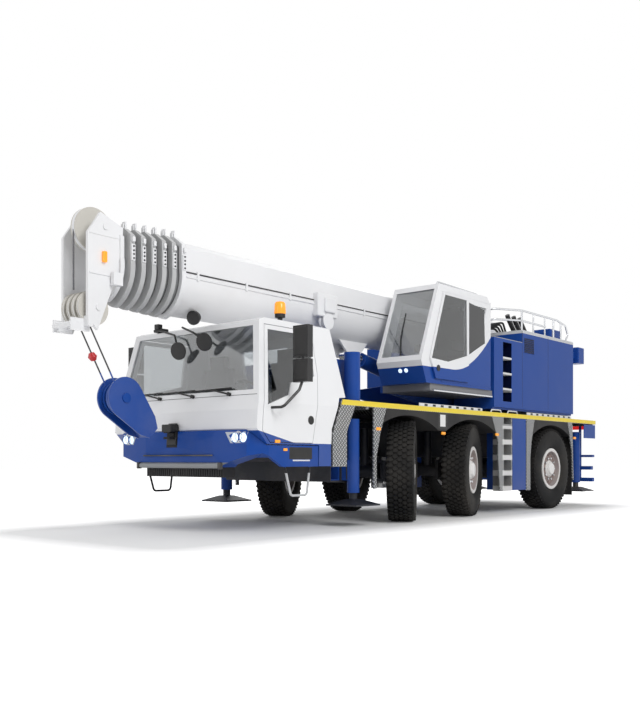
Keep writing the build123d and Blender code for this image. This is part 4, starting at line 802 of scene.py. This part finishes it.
IN_FRONT = 4.4
BACKWARD = (-1, 0, 0)
for side, way in SIDES.items():
    laid_on(f"headlight_trim_{side}", "front_bumper",
            [(IN_FRONT, way * y, z)
             for y, z in ((0.80, 1.168), (1.125, 1.168), (1.10, 1.042), (0.875, 1.042))],
            BACKWARD, 0.0008, 0.0015, trim_grey, CARRIER, 10)
    lathe(f"headlight_ring_{side}",
          [(0.050, 0), (0.060, 0), (0.060, 0.006), (0.050, 0.006), (0.050, 0)], (1, 0, 0),
          skin("front_bumper", (IN_FRONT, way * 0.995, 1.12), BACKWARD), steel, CARRIER)
lathe("beacon_foot", [(0, 0), (0.030, 0), (0.030, 0.045), (0.062, 0.055), (0.062, 0.095), (0, 0.095)],
      (0, 0, 1), at(BEACON_X, BEACON_Y, CAB_ROOF), plastic, CARRIER)
lathe("beacon_lamp", [(0, 0), (0.066, 0), (0.070, 0.01), (0.064, 0.120), (0.050, 0.140), (0, 0.145)],
      (0, 0, 1), at(BEACON_X, BEACON_Y, 2.572), amber, CARRIER)

mirror_foot = Vector(at(2.775, -0.66, CAB_ROOF))
blocks("screen_mirror_bracket", [(at(2.70, -0.74, 2.462), at(2.80, -0.56, 2.500)),
                                 (at(2.75, -0.70, 2.495), at(2.82, -0.62, 2.560))], plastic, CARRIER, 0.008)
for index, (offset, drop) in enumerate(((0.56, 0.31), (1.02, 0.24))):
    disc = mirror_foot + Vector((0.16, offset, -drop))
    tube(f"screen_mirror_arm_{index + 1}", [[mirror_foot + Vector((0.02, 0.05 + 0.42 * index, 0.0)),
                                             mirror_foot + Vector((0.10, offset * 0.75, -0.10)), disc]],
         0.013, plastic, CARRIER, 0.04)
    lathe(f"screen_mirror_{index + 1}",
          [(0, -0.02), (0.088, -0.02), (0.108, -0.004), (0.106, 0.010), (0, 0.016)],
          (1, 0.25, -0.25), disc, plastic, CARRIER)

# Bumper

blocks("front_socket", [(at(3.000, -0.185, 1.030), at(3.050, -0.015, 1.120)),
                        (at(3.000, -0.185, 1.185), at(3.125, -0.015, 1.275)),
                        (at(3.000, -0.170, 0.985), at(3.035, -0.030, 1.290))], plastic, CARRIER, 0.008)
blocks("bumper_bar_caps", [(at(3.00, way * 0.715, 0.745), at(3.06, way * 0.745, 0.825)) for way in (1, -1)],
       dark_iron, CARRIER, 0.006)
grown_piece("grille_slats", ROW, Matrix.Translation(at(2.944, -0.66, 0.700)), plastic, CARRIER,
            Count=34, Step=(0.0, 0.04, 0.0), Bar_Size=(0.008, 0.010, 0.085))
tube("bumper_rail", [[at(3.045, -0.62, 0.905), at(3.062, -0.60, 0.905), at(3.062, 0.60, 0.905),
                      at(3.045, 0.62, 0.905)]], 0.009, dark_iron, CARRIER, 0.01)

# Deck edge, grab loops, labels, rear lamps and bars

LOOP_ROD = 0.011
LOOP_RISE = 0.042
LOOP_Y = 1.24
STRIP_RISE = 0.046
KICK_STRIPS = [(-0.24, -1.98), (-3.46, -5.20)]
MARKERS = ((0.743, 1.256), (-0.829, 1.235), (-2.40, 1.253), (-5.30, 1.253))
REAR_BARS = ((0.95, 1.268, 0.905, 0.950), (0.95, 1.240, 0.665, 0.735), (0.95, 1.268, 0.44, 0.515))

for side, way in SIDES.items():
    for index, middle in enumerate((-2.43, -2.97), start=1):
        loop = ((0.17, 0), (0.14, LOOP_RISE), (-0.14, LOOP_RISE), (-0.17, 0))
        tube(f"grab_loop_{side}_{index}", [[at(middle + x, way * LOOP_Y, DECK_TOP + z) for x, z in loop]],
             LOOP_ROD, decal_white, CARRIER, 0.02)
    blocks(f"blank_label_{side}", [(at(-0.88, way * 1.272, 1.33), at(-0.74, way * 1.2775, 1.50))],
           decal_white, CARRIER, 0.001)
    blocks(f"label_frame_{side}", [(at(-0.93, way * 1.270, 1.30), at(-0.69, way * 1.2762, 1.53))],
           plastic, CARRIER, 0.001)
    blocks(f"side_markers_{side}",
           [(at(x - 0.045, way * 1.262, z - 0.02), at(x + 0.045, way * 1.284, z + 0.02)) for x, z in MARKERS],
           amber, CARRIER, 0.006)
    blocks(f"kick_strips_{side}",
           [(at(front, way * 1.244, DECK_TOP), at(back, way * 1.252, DECK_TOP + STRIP_RISE))
            for front, back in KICK_STRIPS], decal_white, CARRIER, 0.001)
    for index, (front, back) in enumerate(KICK_STRIPS, start=1):
        grown_piece(f"strip_blocks_{side}_{index}", ROW,
                    Matrix.Translation(at(back + 0.10, way * 1.2525, DECK_TOP + STRIP_RISE / 2)), plastic,
                    CARRIER, Count=8, Step=(0.21, 0.0, 0.0), Bar_Size=(0.075, 0.004, 0.030))
    blocks(f"rear_cheek_{side}", [(at(-6.235, way * 1.262, 1.26), at(-5.72, way * 1.2745, 1.515))],
           blue, CARRIER)
    bars = [(at(-6.22, way * near, low), at(-6.12, way * far, high)) for near, far, low, high in REAR_BARS]
    post = (at(-6.20, way * 0.98, 0.45), at(-6.15, way * 1.02, 1.58))
    blocks(f"rear_bar_ends_{side}", bars + [post], blue, CARRIER, 0.008)
    blocks(f"tail_lamp_bracket_{side}",
           [((-5.425, way * 0.94, 1.548), (-5.385, way * 1.06, DECK_TOP - 0.012))],
           dark_iron, CARRIER, 0.003)
    for place, x in (("front", 1.11), ("rear", -5.72)):
        hose = ((0.086, 1.03, 1.33), (0.10, 1.02, 1.1), (0.09, 1.03, 0.60))
        tube(f"jack_hose_{place}_{side}", [[at(x - way * 0.11 + dx, way * y, z) for dx, y, z in hose]], 0.010,
             plastic, f"beam_{place}_{side}", 0.05)

# Superstructure

WALL_Y = 1.25
RAIL_Y = 1.21
RAIL_TOP, RAIL_MIDDLE, RAIL_FOOT = 3.34, 3.17, 3.01

for side, way in SIDES.items():
    seams = ((-4.262, -4.256), (-3.305, -3.299))
    blocks(f"housing_seams_{side}",
           [(at(back, way * 1.246, 1.72), at(front, way * 1.2512, 2.985)) for back, front in seams],
           plastic, UPPER, 0.001)
    blocks(f"housing_top_{side}",
           [(at(-5.285, way * 0.53, HOUSING_TOP), at(-3.31, way * 1.245, HOUSING_TOP + 0.010))],
           steel, UPPER)

rail_runs = [
    [at(-3.36, RAIL_Y, RAIL_TOP), at(-4.70, RAIL_Y, RAIL_TOP), at(-5.05, RAIL_Y, 3.28),
     at(-5.15, RAIL_Y, 3.13), at(-5.05, RAIL_Y, RAIL_FOOT)],
    [at(-3.36, RAIL_Y, RAIL_TOP), at(-2.90, 0.95, RAIL_TOP), at(-2.78, 0.70, 3.30), at(-2.85, 0.56, 3.02),
     at(-2.86, 0.56, 2.80)],
    [at(-3.36, RAIL_Y, RAIL_MIDDLE), at(-2.92, 0.95, RAIL_MIDDLE), at(-2.80, 0.72, 3.14)],
    [at(-3.36, RAIL_Y, RAIL_FOOT), at(-3.36, RAIL_Y, RAIL_TOP)],
    [at(-4.55, RAIL_Y, RAIL_FOOT), at(-4.55, RAIL_Y, RAIL_TOP)],
    [at(-4.85, RAIL_Y, RAIL_FOOT), at(-4.85, RAIL_Y, 3.32)],
]
tube("roof_railing", rail_runs, 0.017, steel, UPPER, 0.07, 12)
tube("service_hoses", [
    [at(-2.95, 0.60 + 0.05 * i, 2.80), at(-3.05, 0.62 + 0.05 * i, 3.05 + 0.02 * i),
     at(-3.45, 0.66 + 0.05 * i, 3.10 + 0.03 * i), at(-3.75, 0.60 + 0.04 * i, 3.012)] for i in range(4)
], 0.018, plastic, UPPER, 0.14)
blocks("rear_bracket", [
    (at(-5.66, 1.04, 2.74), at(-5.28, 1.12, 2.88)), (at(-5.90, 1.00, 2.66), at(-5.64, 1.20, 2.96)),
    (at(-5.98, 1.06, 2.70), at(-5.88, 1.16, 2.92))], blue, UPPER, 0.016)
blocks("roof_gear_blue", [(at(-5.20, 0.70, 3.02), at(-4.75, 1.06, 3.22))], blue, UPPER, 0.03)
blocks("roof_gear_dark", [(at(-4.62, 0.72, 3.01), at(-4.35, 1.00, 3.08))], plastic, UPPER, 0.02)
tube("intake_pipes", [[at(-3.40 - 0.22 * i, 0.92, 3.30), at(-3.44 - 0.22 * i, 0.92, 3.24),
                       at(-3.66 - 0.22 * i, 0.92, 3.03)] for i in range(3)], 0.040, plastic,
     UPPER, 0.06)
grown_piece("louvre_fins", ROW, Matrix.Translation(at(-3.71, WALL_Y + 0.0005, 2.655)), plastic,
            UPPER, Count=12, Step=(0.030, 0.0, 0.0), Rows=8, Row_Step=(0.0, 0.0, 0.030),
            Bar_Size=(0.018, 0.004, 0.018))
grown_piece("winch_rope_turns", RING, facing((0, 1, 0), at(-5.0, 0, 1.985)), rope_steel, UPPER,
            Radius=0.168, Count=40, Rows=24, Row_Pitch=0.020, Block_Radius=0.011, Block_Depth=0.016,
            Block_Stretch=(0.85, 1.9, 1.0), Half_Step=0.02)

# Operator's cab

DOOR_INNER = 1.256
DOOR_OUTLINE = [(-0.850, 3.265), (-1.530, 3.265), (-1.530, 2.010), (-0.620, 2.010), (-0.490, 2.290)]
PANE_OUTLINE = [(-0.866, 3.232), (-1.470, 3.232), (-1.482, 2.405), (-0.950, 2.272), (-0.512, 2.290)]
QUARTER_OUTLINE = [(-1.556, 3.222), (-2.030, 3.165), (-2.055, 2.655), (-1.556, 2.425)]


def side_points(points, y):
    """Points ahead of the front axle as places on a side plane."""
    return [Vector(at(x, y, z)) for x, z in points]


def framed_pane(name, outer, inner, y, depth, finish, body):
    """Flat frame between two outlines of as many points."""
    shape = bmesh.new()
    layers = [[[shape.verts.new(p) for p in side_points(points, y + offset)] for points in (outer, inner)]
              for offset in (0.0, depth)]
    for i in range(len(outer)):
        j = (i + 1) % len(outer)
        for outside, inside in layers:
            shape.faces.new((outside[i], outside[j], inside[j], inside[i]))
        for near, far in zip(*layers):
            shape.faces.new((near[i], near[j], far[j], far[i]))
    return from_bmesh(name, shape, finish, body)


door_frame = framed_pane("operator_door_frame", DOOR_OUTLINE, PANE_OUTLINE, DOOR_INNER, 0.027, opcab_paint,
                         "operator_door")
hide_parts("opcab_door")
plate("operator_door_pane", side_points(PANE_OUTLINE, 1.264), Vector((0, 0.006, 0)), dark_glass,
      "operator_door")
plate("quarter_window_border", side_points(QUARTER_OUTLINE, 1.2515), Vector((0, 0.002, 0)), window_black,
      UPPER)
lathe("operator_door_pull", [(0, 0), (0.045, 0), (0.045, 0.006), (0.034, 0.007), (0, 0.003)], (0, 1, 0),
      at(-0.68, 1.2835, 2.16), plastic, "operator_door")
tube("operator_wiper", [[at(-0.33, 0.87, 2.33), at(-0.44, 0.80, 2.60), at(-0.60, 0.78, 2.98)]], 0.009,
     plastic, UPPER)
tube("cab_roof_rail", [[at(-0.80, 1.16, 3.378), at(-0.85, 1.16, 3.43), at(-1.95, 1.16, 3.41),
                        at(-2.08, 1.16, 3.375)]], 0.012, steel, UPPER, 0.05)
tube("platform_rail", [[at(-0.62, 1.235, 1.845), at(-2.30, 1.235, 1.845)]], 0.016, steel, UPPER)
for index, y in enumerate((0.86, 0.96), start=1):
    lathe(f"work_lamp_{index}", [(0, -0.004), (0.030, -0.004), (0.030, 0.006), (0.022, 0.010), (0, 0.012)],
          (1, 0, -0.4), skin("opcab_shell", (2.5, y, 2.12), BACKWARD), headlight, UPPER, 24)

# Boom

for index in range(SECTIONS):
    front = COLLAR_FRONT + index * COLLAR_PITCH
    rise = 0.042 - 0.008 * index
    body = "boom" if index == 0 else f"section_{index}"
    top, half = BOOM_TOP + rise, BOOM_HALF + rise
    tabs = []
    for y in (-0.15, 0.15):
        tabs.append((at(front - 0.050, y - 0.030, top - 0.010), at(front - 0.030, y + 0.030, top + 0.085)))
        tabs.append((at(front - 0.024, y - 0.022, top - 0.010), at(front - 0.010, y + 0.022, top + 0.060)))
    for way in (1, -1):
        inner = way * (half - 0.004)
        tabs.append((at(front - 0.055, inner, 3.02), at(front - 0.008, way * (half + 0.018), 3.20)))
        tabs.append((at(front - 0.048, inner, 3.225), at(front - 0.014, way * (half + 0.030), 3.28)))
    blocks(f"collar_tabs_{index}", tabs, boom_white, body)
    bolts = bmesh.new()
    for z in (3.045, 3.09, 3.13, 3.175):
        for way in (1, -1):
            lathe_shape(bolts, [(0, 0), (0.011, 0), (0.011, 0.010), (0, 0.012)],
                        facing((0, way, 0), at(front - 0.031, way * (half + 0.016), z)), 6)
    from_bmesh(f"collar_bolts_{index}", bolts, dark_iron, body)

SIDE_RUN_Y = BOOM_HALF + 0.012
SIDE_RUNS = (("boom_side_cable", 3.02, 0.008, dark_iron), ("boom_side_pipe", 2.965, 0.010, boom_white))
for name, z, radius, finish in SIDE_RUNS:
    tube(name, [[at(-3.6, SIDE_RUN_Y, z), at(3.18, SIDE_RUN_Y, z)]], radius, finish, "boom")
grown_piece("boom_pipe_clips", ROW, Matrix.Translation(at(-3.4, BOOM_HALF + 0.010, 2.993)), boom_white,
            "boom", Count=9, Step=(0.8, 0.0, 0.0), Bar_Size=(0.030, 0.030, 0.100))
blocks("boom_reel_box", [(at(0.50, 0.300, 2.80), at(0.92, 0.400, 3.12)),
                         (at(0.58, 0.390, 2.86), at(0.80, 0.440, 3.06))], boom_white, "boom", 0.018)
lathe("boom_reel", [(0, 0), (0.11, 0), (0.11, 0.02), (0.05, 0.03), (0.05, 0.06), (0.11, 0.07), (0.11, 0.09),
                    (0, 0.092)], (0, 1, 0), at(0.72, 0.33, 2.74), boom_white, "boom")
lathe("boom_work_lamp", [(0, -0.07), (0.06, -0.06), (0.085, 0.0), (0.085, 0.03), (0, 0.04)], (1, 0.3, -0.3),
      at(2.95, 0.20, 2.535), plastic, "boom", 24)
tube("hoist_rope_on_boom", [[at(-3.9, 0.0, BOOM_TOP + 0.030), at(3.20, 0.0, BOOM_TOP + 0.030)]], 0.009,
     rope_steel, "boom")

# Boom head and hook block

HEAD_HALF = 0.245
HEAD = f"section_{SECTIONS}"
blocks("head_marker_lamp", [(at(4.235, HEAD_HALF - 0.002, 2.95), at(4.285, HEAD_HALF + 0.040, 3.07))],
       amber, HEAD, 0.012)
blocks("head_ribs", [(at(4.02, HEAD_HALF - 0.004, 2.815), at(4.44, HEAD_HALF + 0.012, 2.835)),
                     (at(4.02, -HEAD_HALF - 0.012, 2.815), at(4.44, -HEAD_HALF + 0.004, 2.835)),
                     (at(4.06, HEAD_HALF - 0.004, 3.235), at(4.44, HEAD_HALF + 0.008, 3.247)),
                     (at(4.06, 0.255, 2.72), at(4.18, 0.320, 2.86))], boom_white, HEAD, 0.006)


def sheave_profile(bore, web, rim, groove):
    """Grooved rope sheave: web, rim and groove as (radius, half width)."""
    side = [(bore, web[1]), web, rim, (rim[0], groove[1])]
    return [(r, -h) for r, h in side] + [(groove[0], 0.0)] + side[::-1] + [(bore, -web[1])]


for lane in (-0.135, -0.045, 0.045, 0.135):
    lathe(f"rope_sheave_{round(lane * 1000)}",
          sheave_profile(0.06, (0.150, 0.020), (0.188, 0.024), (0.170, 0.014)),
          (0, 1, 0), at(4.325, lane, 2.470), sheave_nylon, HEAD, 48)
lathe("top_sheave", sheave_profile(0.05, (0.200, 0.034), (0.242, 0.040), (0.218, 0.026)), (0, 1, 0),
      at(4.235, 0.0, 3.340), sheave_nylon, HEAD, 64)
tube("rope_over_head", [
    [at(x, 0.0, z) for x, z in ((4.02, 3.44), (4.235, 3.565), (4.44, 3.45), (4.468, 3.30), (4.466, 2.66))]
], 0.009, rope_steel, HEAD, 0.09)
lathe("limit_ball", [(0.0, -0.052), (0.030, -0.044), (0.052, 0.0), (0.030, 0.044), (0.0, 0.052)], (0.4, 0, 1),
      at(4.165, -0.09, 1.985), ball_red, "hook")
for side, way in SIDES.items():
    lathe(f"block_pin_cap_{side}", [(0, 0), (0.055, 0), (0.055, 0.012), (0.030, 0.018), (0, 0.018)],
          (0, way, 0), at(3.86, way * 0.109, 1.54), blue, "hook")

# Floor, light and camera

def seen_directly(tree):
    """One for rays from the camera, from mirrors and through glass."""
    path = add_node(tree, "ShaderNodeLightPath").outputs
    return maths(tree, "MAXIMUM", maths(tree, "MAXIMUM", path["Is Camera Ray"], path["Is Glossy Ray"]),
                 path["Is Transmission Ray"])


FOOTPRINT = (5.0, 1.2, 0.0)

floor_shape = bmesh.new()
bmesh.ops.create_grid(floor_shape, x_segments=1, y_segments=1, size=60.0)
floor = in_scene("floor", mesh_of("floor", floor_shape))
floor_white, floor_tree, floor_shader = new_material("floor white")
# The floor glows more the further it lies from the machine, so that only the shadow near it stays grey
spot = vector_maths(floor_tree, "ABSOLUTE", object_place(floor_tree))
beyond = vector_maths(floor_tree, "MAXIMUM", vector_maths(floor_tree, "SUBTRACT", spot, FOOTPRINT))
reach = vector_maths(floor_tree, "LENGTH", beyond, output="Value")
glow = ramp(floor_tree, reach, From_Min=0.3, From_Max=1.6, To_Min=0.02, To_Max=0.80)
set_inputs(floor_shader, {
    "Base Color": (0.90, 0.90, 0.90), "Roughness": 0.9, "Emission Color": (1, 1, 1),
    "Emission Strength": product(floor_tree, seen_directly(floor_tree), glow)})
floor.data.materials.append(floor_white)

world = bpy.data.worlds.new("studio")
bpy.context.scene.world = world
world.use_nodes = True
set_inputs(world.node_tree.nodes["Background"], {
    "Color": (1, 1, 1), "Strength": number_mix(world.node_tree, seen_directly(world.node_tree), 0.50, 1.0)})


def soft_lamp(name, place, target, size, energy):
    """Square area lamp aimed at a point."""
    data = bpy.data.lights.new(name, "AREA")
    data.size = size
    data.energy = energy
    lamp = in_scene(name, data)
    lamp.location = place
    lamp.rotation_euler = (Vector(target) - Vector(place)).to_track_quat("-Z", "Y").to_euler()


soft_lamp("key", (5.5, 12, 9.5), (0, 0, 1.5), 6.0, 960)
soft_lamp("front fill", (14, -3, 5), (2, 0, 1.5), 6.0, 200)
soft_lamp("back", (-10, -8, 9), (0, 0, 2), 7.0, 400)

HEADING = radians(40.237)
camera_data = bpy.data.cameras.new("camera")
camera_data.sensor_width = 36.0
camera_data.lens = 42.80
camera_data.shift_y = 0.1325
camera = in_scene("camera", camera_data)
camera.location = at(9.789, 7.937, 0.854)
camera.rotation_euler = Vector((-cos(HEADING), -sin(HEADING), 0)).to_track_quat("-Z", "Y").to_euler()
bpy.context.scene.camera = camera
bpy.context.scene.view_settings.view_transform = "Standard"
